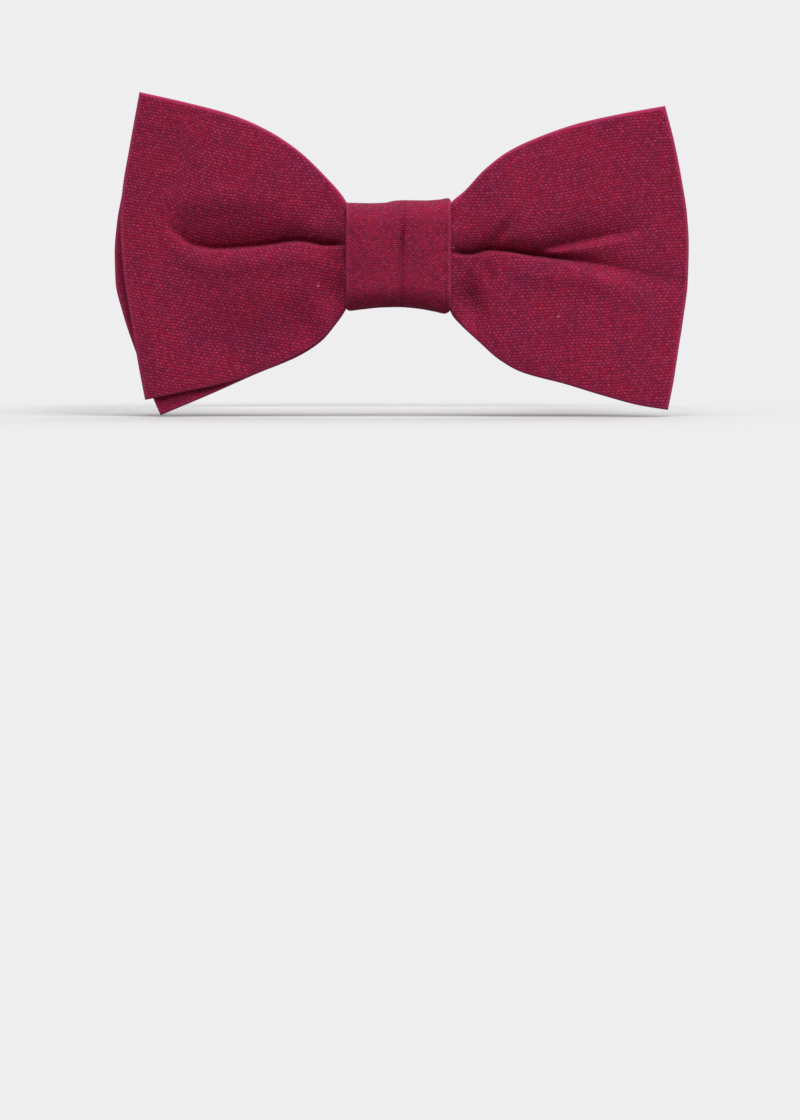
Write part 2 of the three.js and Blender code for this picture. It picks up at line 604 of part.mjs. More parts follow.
const neckLoop = new THREE.Group();
neckLoop.name = 'neck_loop';
neckLoop.add(named('neck_band', neckBand(), cloth(LINEN)));
neckLoop.add(named('neck_band_return_run', returnRun(), cloth(LINEN)));
neckLoop.add(named('eye_bar_tack', eyeBarTack(), cloth(THREAD)));
neckLoop.add(named('care_label', careLabel(), cloth(LABEL)));
neckLoop.add(named('hook', hook(), metal(NICKEL)));
neckLoop.add(named('eye', eye(), metal(NICKEL)));
bowTie.add(neckLoop);

const sliderGroup = new THREE.Group();
sliderGroup.name = 'slider_group';
sliderGroup.add(named('slider', slider(), metal(NICKEL)));
sliderGroup.add(named('neck_band_sewn_end', sewnEnd(), cloth(LINEN)));
sliderGroup.add(named('slider_bar_tack', sliderBarTack(), cloth(THREAD)));
neckLoop.add(sliderGroup);

export default bowTie;
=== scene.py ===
"""A pre-tied linen bow tie: two pleated bows in a wrapped knot, on an adjustable neck band."""

import math

import bmesh
import bpy
import numpy as np
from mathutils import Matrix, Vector


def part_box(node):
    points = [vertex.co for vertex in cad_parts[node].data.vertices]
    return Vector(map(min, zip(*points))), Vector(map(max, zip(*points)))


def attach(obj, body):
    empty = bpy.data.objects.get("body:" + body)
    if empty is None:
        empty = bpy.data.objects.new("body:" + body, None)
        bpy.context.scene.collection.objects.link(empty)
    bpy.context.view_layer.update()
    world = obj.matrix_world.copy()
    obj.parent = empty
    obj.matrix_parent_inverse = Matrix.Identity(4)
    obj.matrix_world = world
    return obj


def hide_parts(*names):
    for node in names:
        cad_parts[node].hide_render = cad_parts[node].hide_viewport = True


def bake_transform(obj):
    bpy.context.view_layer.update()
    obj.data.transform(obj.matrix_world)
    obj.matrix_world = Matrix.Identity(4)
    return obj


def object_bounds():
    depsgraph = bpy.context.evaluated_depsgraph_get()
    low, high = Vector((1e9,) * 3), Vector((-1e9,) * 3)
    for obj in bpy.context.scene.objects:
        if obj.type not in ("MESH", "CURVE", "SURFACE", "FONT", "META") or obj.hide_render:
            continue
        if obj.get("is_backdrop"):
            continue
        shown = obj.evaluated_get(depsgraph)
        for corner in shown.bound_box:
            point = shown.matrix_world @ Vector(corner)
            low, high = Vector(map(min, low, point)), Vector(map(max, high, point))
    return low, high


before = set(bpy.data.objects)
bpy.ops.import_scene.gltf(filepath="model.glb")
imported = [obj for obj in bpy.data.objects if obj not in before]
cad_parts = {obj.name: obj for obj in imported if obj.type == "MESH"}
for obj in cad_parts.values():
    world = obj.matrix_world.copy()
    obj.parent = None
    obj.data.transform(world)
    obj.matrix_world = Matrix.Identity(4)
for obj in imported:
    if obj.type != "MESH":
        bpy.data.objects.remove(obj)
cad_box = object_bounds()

bl_info = {
    "name": "Pre-tied linen bow tie",
    "version": (1, 0, 0),
    "blender": (4, 5, 0),
    "location": "View3D > Sidebar > Bow Tie",
    "description": "Makes the linen, thread and nickel of a pre-tied bow tie around its frame",
    "category": "Object",
}

MM = 0.001  # the drawings below are in millimetres, and the pieces in metres


def box_mm(node):
    """The lowest and highest corner of a frame node, in millimetres."""
    low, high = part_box(node)
    return np.array(low) / MM, np.array(high) / MM


# ---- The frame's places, in millimetres ----
WRAP_LOW, WRAP_HIGH = box_mm("knot_wrap")
BAND_LOW, BAND_HIGH = box_mm("neck_band")
FRONT_HIGH = box_mm("front_bow_face_ply")[1]
REAR_LOW = box_mm("rear_bow_back_ply")[0]
BINDING_LOW, BINDING_HIGH = box_mm("pleat_binding_thread")
SLIDER_LOW, SLIDER_HIGH = box_mm("slider")

# ---- The pattern of the bows, drawn 127 mm wide and 71.4 mm high, from the middle of the knot ----
PATTERN_HALF_WIDTH = 63.52
PATTERN_HALF_HEIGHT = 35.71
WIDER = (FRONT_HIGH[0] - REAR_LOW[0]) / 2 / PATTERN_HALF_WIDTH
HIGHER = (FRONT_HIGH[2] - REAR_LOW[2]) / 2 / PATTERN_HALF_HEIGHT
PINCH_TOP = ((-11.7, 12.3), (-11.1, 10.9), (-10.4, 9.6), (-9.3, 8.7), (-7, 8.3), (0, 8.3),
             (7, 8.3), (9.3, 8.7), (10.4, 9.6), (11.1, 10.9), (11.8, 12.0))
PINCH_BOTTOM = ((-11.7, -12.0), (-11.1, -10.6), (-10.4, -9.4), (-9.3, -8.6), (-7, -8.3), (0, -8.3),
                (7, -8.3), (9.3, -8.7), (10.4, -9.7), (11.1, -11.2), (11.8, -13.0))
BOWS = {
    "front": {
        "left_top": ((15.9, 17.3), (22.2, 23.3), (28.9, 27.7), (36.7, 31.1), (47.1, 33.9), (57.2, 36.2)),
        "left_bottom": ((13.9, -14.9), (17, -18.4), (22.2, -21.7), (28, -24.5), (34.6, -27.1),
                        (49.7, -30.5), (56, -31.8)),
        "left_outer": ((-31.8, 56), (-24, 57.5), (-16.2, 58.8), (-8.4, 60.1), (-0.6, 61.1), (7.2, 61.5),
                       (13.9, 61.1), (24.8, 59.3), (36.2, 57.2)),
        "right_top": ((14.5, 14.3), (18.9, 19), (24.3, 23.1), (31.4, 26.4), (39.6, 29.2), (47.9, 31.1),
                      (58.8, 33.1)),
        "right_bottom": ((13.4, -14.9), (17.8, -19), (22.1, -22.8), (27.1, -25.6), (36.9, -28.3),
                         (45.1, -30.8), (53.3, -33), (59.5, -34)),
        "right_outer": ((-34, 59.5), (-28, 60.7), (-20.9, 61.8), (-13.8, 62.9), (-5.6, 63.9), (2.6, 64.1),
                        (9.2, 63.7), (16.3, 62.6), (24.5, 61), (33.1, 58.8)),
    },
    "rear": {
        "left_top": ((15.9, 16.4), (22.2, 22.2), (28.9, 26.6), (36.7, 29.9), (47.1, 32.6), (56, 34.4)),
        "left_bottom": ((13.9, -15.2), (17, -18.8), (22.2, -22.2), (31.5, -26.1), (41.9, -30.7),
                        (52.6, -35.2)),
        "left_outer": ((-35.2, 52.6), (-31.8, 54.1), (-20.9, 58.3), (-12.6, 61.1), (-5.8, 62.7), (0.9, 62.9),
                       (7.2, 62.4), (13.9, 61.2), (24, 59), (34.4, 56)),
        "right_top": ((14.5, 13.6), (18.9, 18.2), (24.3, 22.3), (31.4, 25.6), (39.6, 28.4), (47.9, 30.3),
                      (57.8, 32.2)),
        "right_bottom": ((13.4, -14.2), (17.8, -18.2), (22.1, -22), (27.1, -24.8), (36.9, -27.5),
                         (45.1, -30), (53.3, -32.2), (58.6, -33)),
        "right_outer": ((-33, 58.6), (-27, 59.8), (-20, 60.9), (-13, 62), (-5, 63), (2.6, 63.2),
                        (9.2, 62.8), (16.3, 61.7), (24, 60), (32.2, 57.8)),
    },
}
WING_START = 13.5  # where the wings begin to fan out, from the middle
WING_COLUMNS = 105
HALF_ROWS = 50  # from a bow's edge to its crease
RIM = (0, 0.06, 0.2, 0.45, 0.8)  # places of the fine rows along a turned edge
WING_PUFF = 2.5  # how far the wings stand forward beside the knot
WING_FALL = 3.3  # how far their outer sides lie back
LEFT_LEAN = 3.2  # how much further back the left wing's outer side lies
WING_SWAY = 0.5  # how far the outer sides wave to and fro
GATHER_DEPTH = 0.8
GATHER_PITCH = 9  # from gather to gather in the pinched middle
CREVICE_DEPTH = 0.6  # of the fine line along the bottom of a main pleat
BOW_SPACING = 1.62  # from the middle of the binding to the middle of each bow
REAR_SPREAD = 0.8  # how much further apart the bows are at their outer sides
REAR_FOLD_SHARE = 0.85  # the rear bow's folds are a little shallower
REAR_TIP_CURL = 1.9  # how far the rear bow's lower left tip comes forward
FRONT_BUNDLE, REAR_BUNDLE = 1.5, 0.8  # how much thicker the pinched cloth is beside the knot
SEWN_THINNING = 0.12  # how much thinner half a bow is along its turned edge
SEWN_RIDGE = 0.05  # of the seam allowance inside it
FOLD_FOLLOW = 0.35  # how far the drawn threads follow the folds
GRAIN_TURN_LEFT = math.radians(9)
GRAIN_TURN_RIGHT = math.radians(-3)

# ---- The neck band, as the strap runs ----
STRAP_THICKNESS = 1.2
FRONT_BEND_RADIUS = 40
BACK_BEND_RADIUS = 34
EASE_RADIUS = 12
TURNED_END = 4.5
LAYER_PITCH = 1.5  # between the middles of two layers of strap
BAR_FOLD_RADIUS = 1.35
SLIDER_FOLD_RADIUS = 1.4
STITCH_INSET = 1.4
STITCH_LENGTH = 2.0
STITCH_STEP = 2.7
SEAM_GROOVE = 0.09
SEAM_PUCKER = 0.02
BAND_WARP_PITCH = 0.45
BAND_WEFT_PITCH = 0.5
STRAP_ROWS = 35
STRAP_FLAT_HALF = 7.1  # half the width between the strap's finer rows
LABEL_RIM = 0.3
LABEL_COLUMNS, LABEL_ROWS = 61, 31
LABEL_SEAM = 1.1  # from the label's end to its stitches
LABEL_STITCHES = 6  # at each end
LABEL_STITCH_LENGTH = 1.25
LABEL_STITCH_STEP = 1.85
LABEL_THREAD_RADIUS = 0.15
TACK_LIFT = 0.18  # how far the bar tacks stand off the strap

# ---- The stage, in metres ----
FLOOR_RADIUS = 60
FLOOR_SIDES = 64
FLOOR_GAP = 0.3 * MM  # under the lowest point
LAMPS = (("key_light", (0.16, -0.61, 0.78), 52), ("back_light", (0.2, 0.75, 0.63), 50))  # direction, width
CAMERA_DISTANCE = 2.0  # in front of the knot
CAMERA_SIDE = 0.33 * MM
CAMERA_TILT = 1.915  # degrees downwards
CAMERA_LENS = 292.3
CAMERA_SENSOR = 36


# ---- Sizes and colours that can be changed ----
def size_setting(name, description, default, low, high):
    """A length, given in millimetres."""
    return bpy.props.FloatProperty(
        name=name, description=description, default=default * MM, min=low * MM, max=high * MM, unit="LENGTH")


def colour_setting(name, description, default):
    return bpy.props.FloatVectorProperty(
        name=name, description=description, default=default, size=3, subtype="COLOR", min=0, max=1)


def light_setting(name, description, default):
    return bpy.props.FloatProperty(name=name, description=description, default=default, min=0)


class BowSizes(bpy.types.PropertyGroup):
    """Sizes of the two bows."""

    thickness: size_setting("Wing thickness", "Two plies of linen with their interlining", 1.7, 0.8, 2.2)
    crease_depth: bpy.props.FloatProperty(
        name="Crease depth", description="How much of the full depth the pleats have", default=1.0, min=0.2,
        max=1.2)
    warp_pitch: size_setting("Warp pitch", "From upright thread to upright thread in the wings", 0.5, 0.2, 2)
    weft_pitch: size_setting("Weft pitch", "From level thread to level thread in the wings", 0.68, 0.2, 2)


class KnotSizes(bpy.types.PropertyGroup):
    """Sizes of the wrapped knot."""

    wrap_thickness: size_setting("Wrap thickness", "The folded linen round the knot", 1.2, 0.6, 1.5)
    dent_depth: size_setting("Dent depth", "Depth of the crease down the middle of the knot", 1.3, 0, 2)
    warp_pitch: size_setting("Warp pitch", "From upright thread to upright thread in the knot", 0.5, 0.2, 2)
    weft_pitch: size_setting("Weft pitch", "From level thread to level thread in the knot", 0.42, 0.2, 2)


class BandSizes(bpy.types.PropertyGroup):
    """Sizes of the sewing and of the metal."""

    stitch_radius: size_setting("Thread radius", "Half the thickness of the sewing thread", 0.2, 0.1, 0.4)
    metal_edge: size_setting("Metal edge", "Rounding of the edges of the metal", 0.16, 0.05, 0.3)


class TieColours(bpy.types.PropertyGroup):
    """Colours of the bow tie's materials."""

    linen: colour_setting("Linen", "The dyed linen", (0.3, 0.0096, 0.0365))
    # Painted shade between the threads, where the weave dips.
    linen_deep: colour_setting("Linen, deep", "Between the threads", (0.085, 0.005, 0.02))
    # The pale colour is also the painted highlight along turned edges.
    linen_pale: colour_setting("Linen, pale", "Threads that took less dye", (0.445, 0.034, 0.115))
    linen_plum: colour_setting("Linen, plum", "Cooler patches of the dye", (0.155, 0.0115, 0.052))
    nub: colour_setting("Nub", "Small undyed nubs in the yarn", (0.6, 0.2, 0.27))
    thread: colour_setting("Thread", "Sewing thread", (0.3, 0.018, 0.055))
    nickel: colour_setting("Nickel", "Satin nickel plate", (0.62, 0.6, 0.56))
    label: colour_setting("Label", "Woven care label", (0.8, 0.78, 0.72))
    label_thread: colour_setting("Label thread", "The thread that holds the care label", (0.7, 0.67, 0.6))
    fleece: colour_setting("Fleece", "Interlining in the knot", (0.74, 0.7, 0.62))


class StageSettings(bpy.types.PropertyGroup):
    """The floor and the light."""

    backdrop: colour_setting("Backdrop", "Tone of the floor and of what lies behind it", (0.86, 0.855, 0.87))
    key_strength: light_setting("Key light", "The large soft light above the front", 3.25)
    back_strength: light_setting("Back light", "The soft light above the back", 1.1)
    room_strength: light_setting("Room light", "The even light from all round", 0.4)


# ---- Drawing helpers ----
def smooth_line(points):
    """A smooth line through points, given in the order of their first number. It never overshoots."""
    along, value = np.array(sorted(points), float).T
    step = np.diff(along)
    slope = np.diff(value) / step
    tangent = np.concatenate(([slope[0]], np.zeros(len(slope) - 1), [slope[-1]]))
    before, after = slope[:-1], slope[1:]
    turns = before * after <= 0
    total = np.where(turns, 1, before + after)
    tangent[1:-1] = np.where(turns, 0, 2 * before * after / total)

    def at(place):
        place = np.clip(place, along[0], along[-1])
        i = np.clip(np.searchsorted(along, place) - 1, 0, len(step) - 1)
        t = (place - along[i]) / step[i]
        t2, t3 = t * t, t * t * t
        return ((2 * t3 - 3 * t2 + 1) * value[i] + (t3 - 2 * t2 + t) * step[i] * tangent[i]
                + (3 * t2 - 2 * t3) * value[i + 1] + (t3 - t2) * step[i] * tangent[i + 1])

    return at


def ramp(value, start, end):
    """0 before start and 1 after end, with soft ends."""
    t = np.clip((value - start) / (end - start), 0, 1)
    return t * t * (3 - 2 * t)


def bell(value, width):
    return np.exp(-((value / width) ** 2))


def turned_edge(distance, radius):
    """The share of its full thickness that a sheet has at a distance from its turned edge."""
    t = np.clip(distance / radius, 0, 1)
    return np.sqrt(np.clip(1 - (1 - t) ** 2, 0, 1))


def with_rims(half, rim, even):
    """Even places across a sheet, with fine ones near both of its edges."""
    return np.concatenate((-half + rim, even, half - rim[::-1]))


def new_piece(name, points, faces, cloth, material):
    """A smooth mesh piece from points in millimetres, with the cloth's own coordinates at each."""
    mesh = bpy.data.meshes.new(name)
    mesh.from_pydata((points * MM).tolist(), [], faces)
    attribute = mesh.attributes.new("cloth", "FLOAT_VECTOR", "POINT")
    attribute.data.foreach_set("vector", cloth.astype(np.float32).ravel())
    mesh.shade_smooth()
    mesh.materials.append(material)
    piece = bpy.data.objects.new(name, mesh)
    bpy.context.scene.collection.objects.link(piece)
    return piece


def closed_sheet(name, outer, inner, cloth, material):
    """A thin closed sheet between two grids of points that meet along their four edges."""
    rows, columns = outer.shape[:2]
    outer_index = np.arange(rows * columns).reshape(rows, columns)
    inner_index = outer_index.copy()
    inside = (rows - 2, columns - 2)
    inner_index[1:-1, 1:-1] = rows * columns + np.arange(inside[0] * inside[1]).reshape(inside)
    points = np.concatenate((outer.reshape(-1, 3), inner[1:-1, 1:-1].reshape(-1, 3)))
    both = np.concatenate((cloth.reshape(-1, 3), cloth[1:-1, 1:-1].reshape(-1, 3)))

    def quads(index):
        return np.stack((index[:-1, :-1], index[:-1, 1:], index[1:, 1:], index[1:, :-1]), -1).reshape(-1, 4)

    faces = np.concatenate((quads(outer_index), quads(inner_index)[:, ::-1]))
    return new_piece(name, points, faces.tolist(), both, material)


class ThreadWork:
    """Runs of thread that are gathered into one piece."""

    def __init__(self):
        self.points, self.faces, self.cloth, self.count = [], [], [], 0

    def run(self, path, radius, sides=7, taper=True):
        """A closed tube of thread along a path of points."""
        path = np.asarray(path, float)
        along = np.gradient(path, axis=0)
        along /= np.linalg.norm(along, axis=1)[:, None]
        side = np.cross(along[0], (0.31, 0.2, 0.93))
        frames = []
        for direction in along:
            side = side - direction * (side @ direction)
            side /= np.linalg.norm(side)
            frames.append((side, np.cross(direction, side)))
        length = np.concatenate(([0], np.cumsum(np.linalg.norm(np.diff(path, axis=0), axis=1))))
        ends = np.minimum(length, length[-1] - length) / radius
        width = radius * (0.35 + 0.65 * turned_edge(ends, 1)) if taper else np.full(len(path), radius)
        turn = np.arange(sides) * 2 * math.pi / sides
        for i, (a, b) in enumerate(frames):
            ring = path[i] + width[i] * (np.cos(turn)[:, None] * a + np.sin(turn)[:, None] * b)
            self.points.append(ring)
            self.cloth.append(np.stack((np.full(sides, length[i]), turn * radius, 0 * turn), -1))
        rings = self.count + np.arange(len(path) * sides).reshape(len(path), sides)
        nexts = np.roll(rings, -1, axis=1)
        for i in range(len(path) - 1):
            self.faces += np.stack((rings[i], nexts[i], nexts[i + 1], rings[i + 1]), -1).tolist()
        self.faces += [rings[0][::-1].tolist(), rings[-1].tolist()]
        self.count += len(path) * sides

    def piece(self, name, material):
        return new_piece(name, np.concatenate(self.points), self.faces, np.concatenate(self.cloth), material)


def satin_tack(work, centre, across, width, height, radius, outward):
    """An upright bar tack: thread laid to and fro across its width, all the way up its height."""
    centre, across, outward = (np.array(v, float) for v in (centre, across, outward))
    up = np.array((0.0, 0.0, 1.0))
    pitch = 2.1 * radius
    count = int(height / pitch)
    path = []
    for i in range(count + 1):
        sign = 1 if i % 2 else -1
        at = centre + up * (i - count / 2) * pitch
        path.append(at + across * sign * width / 2)
        path.append(at + up * pitch / 2 + outward * radius * 0.9)
    work.run(path, radius, taper=False)


# ---- Materials ----
class Wiring:
    """Places and joins the nodes of a tree."""

    def __init__(self, tree):
        self.tree = tree

    def node(self, kind, **settings):
        node = self.tree.nodes.new(kind)
        for key, value in settings.items():
            setattr(node, key, value)
        return node

    def put(self, socket, value):
        if isinstance(value, bpy.types.NodeSocket):
            self.tree.links.new(value, socket)
        elif value is not None:
            socket.default_value = value

    def math(self, operation, *values):
        node = self.node("ShaderNodeMath", operation=operation)
        for socket, value in zip(node.inputs, values):
            self.put(socket, value)
        return node.outputs[0]

    def times(self, first, second):
        return self.math("MULTIPLY", first, second)

    def times_plus(self, value, factor, more):
        return self.math("MULTIPLY_ADD", value, factor, more)

    def vector_math(self, operation, first, second=None, scale=None):
        node = self.node("ShaderNodeVectorMath", operation=operation)
        self.put(node.inputs[0], first)
        self.put(node.inputs[1], second)
        self.put(node.inputs[3], scale)
        return node.outputs[0]

    def parts(self, vector):
        return self.put_in("ShaderNodeSeparateXYZ", vector).outputs

    def put_in(self, kind, *values):
        node = self.node(kind)
        for socket, value in zip(node.inputs, values):
            self.put(socket, value)
        return node

    def combined(self, *values):
        return self.put_in("ShaderNodeCombineXYZ", *values).outputs[0]

    def noise(self, vector, scale, detail=1.0, output="Fac"):
        node = self.node("ShaderNodeTexNoise")
        self.put(node.inputs["Vector"], vector)
        self.put(node.inputs["Scale"], scale)
        self.put(node.inputs["Detail"], detail)
        return node.outputs[output]

    def spread(self, value, low, high, to_low=0.0, to_high=1.0):
        node = self.node("ShaderNodeMapRange", clamp=True)
        for socket, number in zip(node.inputs, (value, low, high, to_low, to_high)):
            self.put(socket, number)
        return node.outputs[0]

    def mixed(self, share, first, second):
        node = self.node("ShaderNodeMix", data_type="RGBA", blend_type="MIX")
        self.put(node.inputs["Factor"], share)
        for socket, value in zip((node.inputs[6], node.inputs[7]), (first, second)):
            self.put(socket, value)
        return node.outputs[2]


def new_group(name, inputs, outputs):
    """An empty shader node group with its named sockets, and the wiring inside it."""
    group = bpy.data.node_groups.new(name, "ShaderNodeTree")
    for socket, kind, default in inputs:
        made = group.interface.new_socket(socket, in_out="INPUT", socket_type=kind)
        if default is not None:
            made.default_value = default
    for socket, kind in outputs:
        group.interface.new_socket(socket, in_out="OUTPUT", socket_type=kind)
    wiring = Wiring(group)
    return group, wiring, wiring.node("NodeGroupInput").outputs, wiring.node("NodeGroupOutput").inputs


FLOAT, VECTOR, COLOUR = "NodeSocketFloat", "NodeSocketVector", "NodeSocketColor"


def plain_weave(name):
    """Plain weave with uneven yarn: threads over and under, thick places and small nubs."""
    group, w, given, out = new_group(
        name,
        (("Cloth", VECTOR, None), ("Warp Pitch", FLOAT, 0.42), ("Weft Pitch", FLOAT, 0.6),
         ("Waver", FLOAT, 0.5), ("Slubs", FLOAT, 1.0)),
        (("Height", FLOAT), ("Thread Tone", FLOAT), ("Slub", FLOAT), ("Nub", FLOAT)),
    )
    drift = w.vector_math("SUBTRACT", w.noise(given["Cloth"], 0.3, 2.0, "Color"), (0.5, 0.5, 0.5))
    wandered = w.vector_math("ADD", given["Cloth"], w.vector_math("SCALE", drift, scale=given["Waver"]))
    x, y, _ = w.parts(wandered)
    x, y = w.math("DIVIDE", x, given["Warp Pitch"]), w.math("DIVIDE", y, given["Weft Pitch"])
    warp, weft = w.math("FLOOR", x), w.math("FLOOR", y)
    over_warp, over_weft = (
        w.math("COSINE", w.times(w.math("SUBTRACT", w.math("SUBTRACT", v, n), 0.5), math.pi))
        for v, n in ((x, warp), (y, weft)))
    flat_weft = w.math("POWER", over_weft, 0.55)
    turn = w.math("FLOORED_MODULO", w.math("ADD", warp, weft), 2.0)
    sign = w.math("SUBTRACT", w.times(turn, 2.0), 1.0)
    warp_height = w.times(over_warp, w.times_plus(w.times(sign, over_weft), 0.47, 0.47))
    weft_height = w.times(flat_weft, w.times_plus(w.times(sign, over_warp), -0.5, 0.5))
    warp_is_up = w.math("GREATER_THAN", warp_height, weft_height)

    def along_thread(stretch, depth):
        """A value that changes from thread to thread, and slowly along each."""
        warp_place = w.combined(w.times(warp, 3.17), w.times(y, stretch), depth)
        of_warp = w.noise(warp_place, 1.0)
        weft_place = w.combined(w.times(x, stretch), w.times(weft, 3.17), -depth)
        of_weft = w.noise(weft_place, 1.0)
        pick = w.node("ShaderNodeMix", data_type="FLOAT")
        for socket, value in zip(pick.inputs[:1] + pick.inputs[2:4], (warp_is_up, of_weft, of_warp)):
            w.put(socket, value)
        return pick.outputs[0]

    shaded = w.spread(along_thread(0.6, 5.0), 0.34, 0.66)
    tone = w.times(shaded, w.times_plus(warp_is_up, -0.62, 1.0))
    slub = w.times(w.spread(along_thread(0.22, 21.0), 0.66, 0.8), given["Slubs"])
    speck = w.node("ShaderNodeTexWhiteNoise", noise_dimensions="2D")
    w.put(speck.inputs["Vector"], w.combined(warp, weft, 0.0))
    nub = w.times(w.math("GREATER_THAN", speck.outputs["Value"], 0.99985), given["Slubs"])
    nub = w.times(nub, w.times(over_warp, over_weft))
    height = w.math("MAXIMUM", warp_height, weft_height)
    uneven = w.times(height, w.spread(tone, 0.0, 1.0, 0.75, 1.15))
    swollen = w.times_plus(slub, 0.25, w.times(nub, 0.5))
    w.put(out["Height"], w.math("ADD", uneven, swollen))
    w.put(out["Thread Tone"], tone)
    w.put(out["Slub"], slub)
    w.put(out["Nub"], nub)
    return group


def yarn_dye(name):
    """The colour of linen yarn: painted shade between threads, paler where it is thick, uneven in patches,
    and a painted highlight along turned edges.
    """
    group, w, given, out = new_group(
        name,
        (("Cloth", VECTOR, None), ("Edge Distance", FLOAT, 5.0), ("Edge Fuzz And Highlight", FLOAT, 0.5),
         ("Height", FLOAT, 0.5), ("Thread Tone", FLOAT, 0.5), ("Slub", FLOAT, 0.0), ("Nub", FLOAT, 0.0),
         ("Dye", COLOUR, None), ("Gap Shade", COLOUR, None), ("Pale", COLOUR, None), ("Cool", COLOUR, None),
         ("Nub Colour", COLOUR, None)),
        (("Color", COLOUR), ("Roughness", FLOAT)),
    )
    cool = w.spread(w.noise(given["Cloth"], 0.1, 2.0), 0.42, 0.66, 0.0, 0.5)
    dyed = w.mixed(cool, given["Dye"], given["Cool"])
    speckled = w.spread(w.noise(given["Cloth"], 0.9, 4.0), 0.46, 0.6, 0.0, 0.6)
    dyed = w.mixed(speckled, dyed, given["Cool"])
    pale = w.times(w.spread(given["Thread Tone"], 0.2, 0.9), 0.55)
    dyed = w.mixed(pale, dyed, given["Pale"])
    # Painted shade between the threads: the lower the weave, the more of the deep colour.
    gap_shade = w.spread(given["Height"], 0.12, 0.55, 0.9, 0.0)
    dyed = w.mixed(gap_shade, dyed, given["Gap Shade"])
    dyed = w.mixed(w.times(given["Slub"], 0.35), dyed, given["Pale"])
    # Painted highlight along the turned edge, where it catches the light, with a little paler fuzz: the last
    # half millimetre is mixed towards the pale colour.
    rim = w.spread(given["Edge Distance"], 0.3, 0.85, 1.0, 0.0)
    dyed = w.mixed(w.times(rim, given["Edge Fuzz And Highlight"]), dyed, given["Pale"])
    w.put(out["Color"], w.mixed(given["Nub"], dyed, given["Nub Colour"]))
    w.put(out["Roughness"], w.spread(given["Height"], 0.0, 1.0, 0.95, 0.78))
    return group


def thread_twist(name):
    """Two-ply twist along a thread: light ridges, and painted shade in the grooves between them."""
    group, w, given, out = new_group(
        name,
        (("Cloth", VECTOR, None), ("Color", COLOUR, None), ("Twist Length", FLOAT, 0.7)),
        (("Color", COLOUR), ("Height", FLOAT)),
    )
    along, around, _ = w.parts(given["Cloth"])
    phase = w.math("ADD", w.math("DIVIDE", along, given["Twist Length"]), w.times(around, 0.8))
    ridge = w.math("ABSOLUTE", w.math("SINE", w.times(phase, math.pi)))
    # Painted shade in the twist's grooves.
    groove_shade = w.vector_math("SCALE", given["Color"], scale=0.6)
    w.put(out["Color"], w.mixed(w.spread(ridge, 0.1, 0.8), groove_shade, given["Color"]))
    w.put(out["Height"], ridge)
    return group


def satin_plate(name):
    """Satin nickel: a fine brushed grain, rubbed duller in patches."""
    group, w, given, out = new_group(
        name,
        (("Place", VECTOR, None), ("Color", COLOUR, None), ("Grain", FLOAT, 1.0)),
        (("Color", COLOUR), ("Roughness", FLOAT), ("Height", FLOAT)),
    )
    x, y, z = w.parts(given["Place"])
    stretched = w.combined(w.times(x, 9000.0), w.times(y, 9000.0), w.times(z, 500.0))
    brushed = w.noise(stretched, 1.0, 2.0)
    rubbed = w.noise(given["Place"], 420.0, 3.0)
    dull = w.vector_math("SCALE", given["Color"], scale=0.72)
    w.put(out["Color"], w.mixed(w.spread(rubbed, 0.4, 0.7, 0.0, 0.6), given["Color"], dull))
    rough = w.spread(rubbed, 0.3, 0.7, 0.16, 0.3)
    w.put(out["Roughness"], w.times_plus(w.times(brushed, given["Grain"]), 0.18, rough))
    w.put(out["Height"], brushed)
    return group


def fill(wiring, node, inputs):
    """Joins or sets a node's inputs by their names."""
    for name, value in inputs.items():
        wiring.put(node.inputs[name], value)
    return node


def placed(wiring, make, inputs):
    """A node group that a function makes when it is first needed, with its inputs filled."""
    name = make.__name__.replace("_", " ").capitalize()
    node = wiring.node("ShaderNodeGroup")
    node.node_tree = bpy.data.node_groups.get(name) or make(name)
    return fill(wiring, node, inputs)


def by_name(make):
    """Lets a function make a material only once under each name."""
    def find(name, *values):
        return bpy.data.materials.get(name) or make(name, *values)

    return find


def new_material(name):
    """An empty material with its shader, and the wiring inside it."""
    material = bpy.data.materials.new(name)
    material.use_nodes = True
    return material, Wiring(material.node_tree), material.node_tree.nodes["Principled BSDF"]


def rgba(colour):
    return (*colour, 1.0)


def attribute(wiring):
    return wiring.node("ShaderNodeAttribute", attribute_name="cloth").outputs["Vector"]


def cloth_coordinates(wiring):
    """The place along and across a cloth, and the distance from its edge, in millimetres."""
    x, y, edge = wiring.parts(attribute(wiring))
    return wiring.combined(x, y, 0.0), edge


def raise_surface(wiring, shader, height, distance):
    bump = wiring.node("ShaderNodeBump")
    fill(wiring, bump, {"Distance": distance, "Strength": 1.0, "Height": height})
    wiring.put(shader.inputs["Normal"], bump.outputs[0])


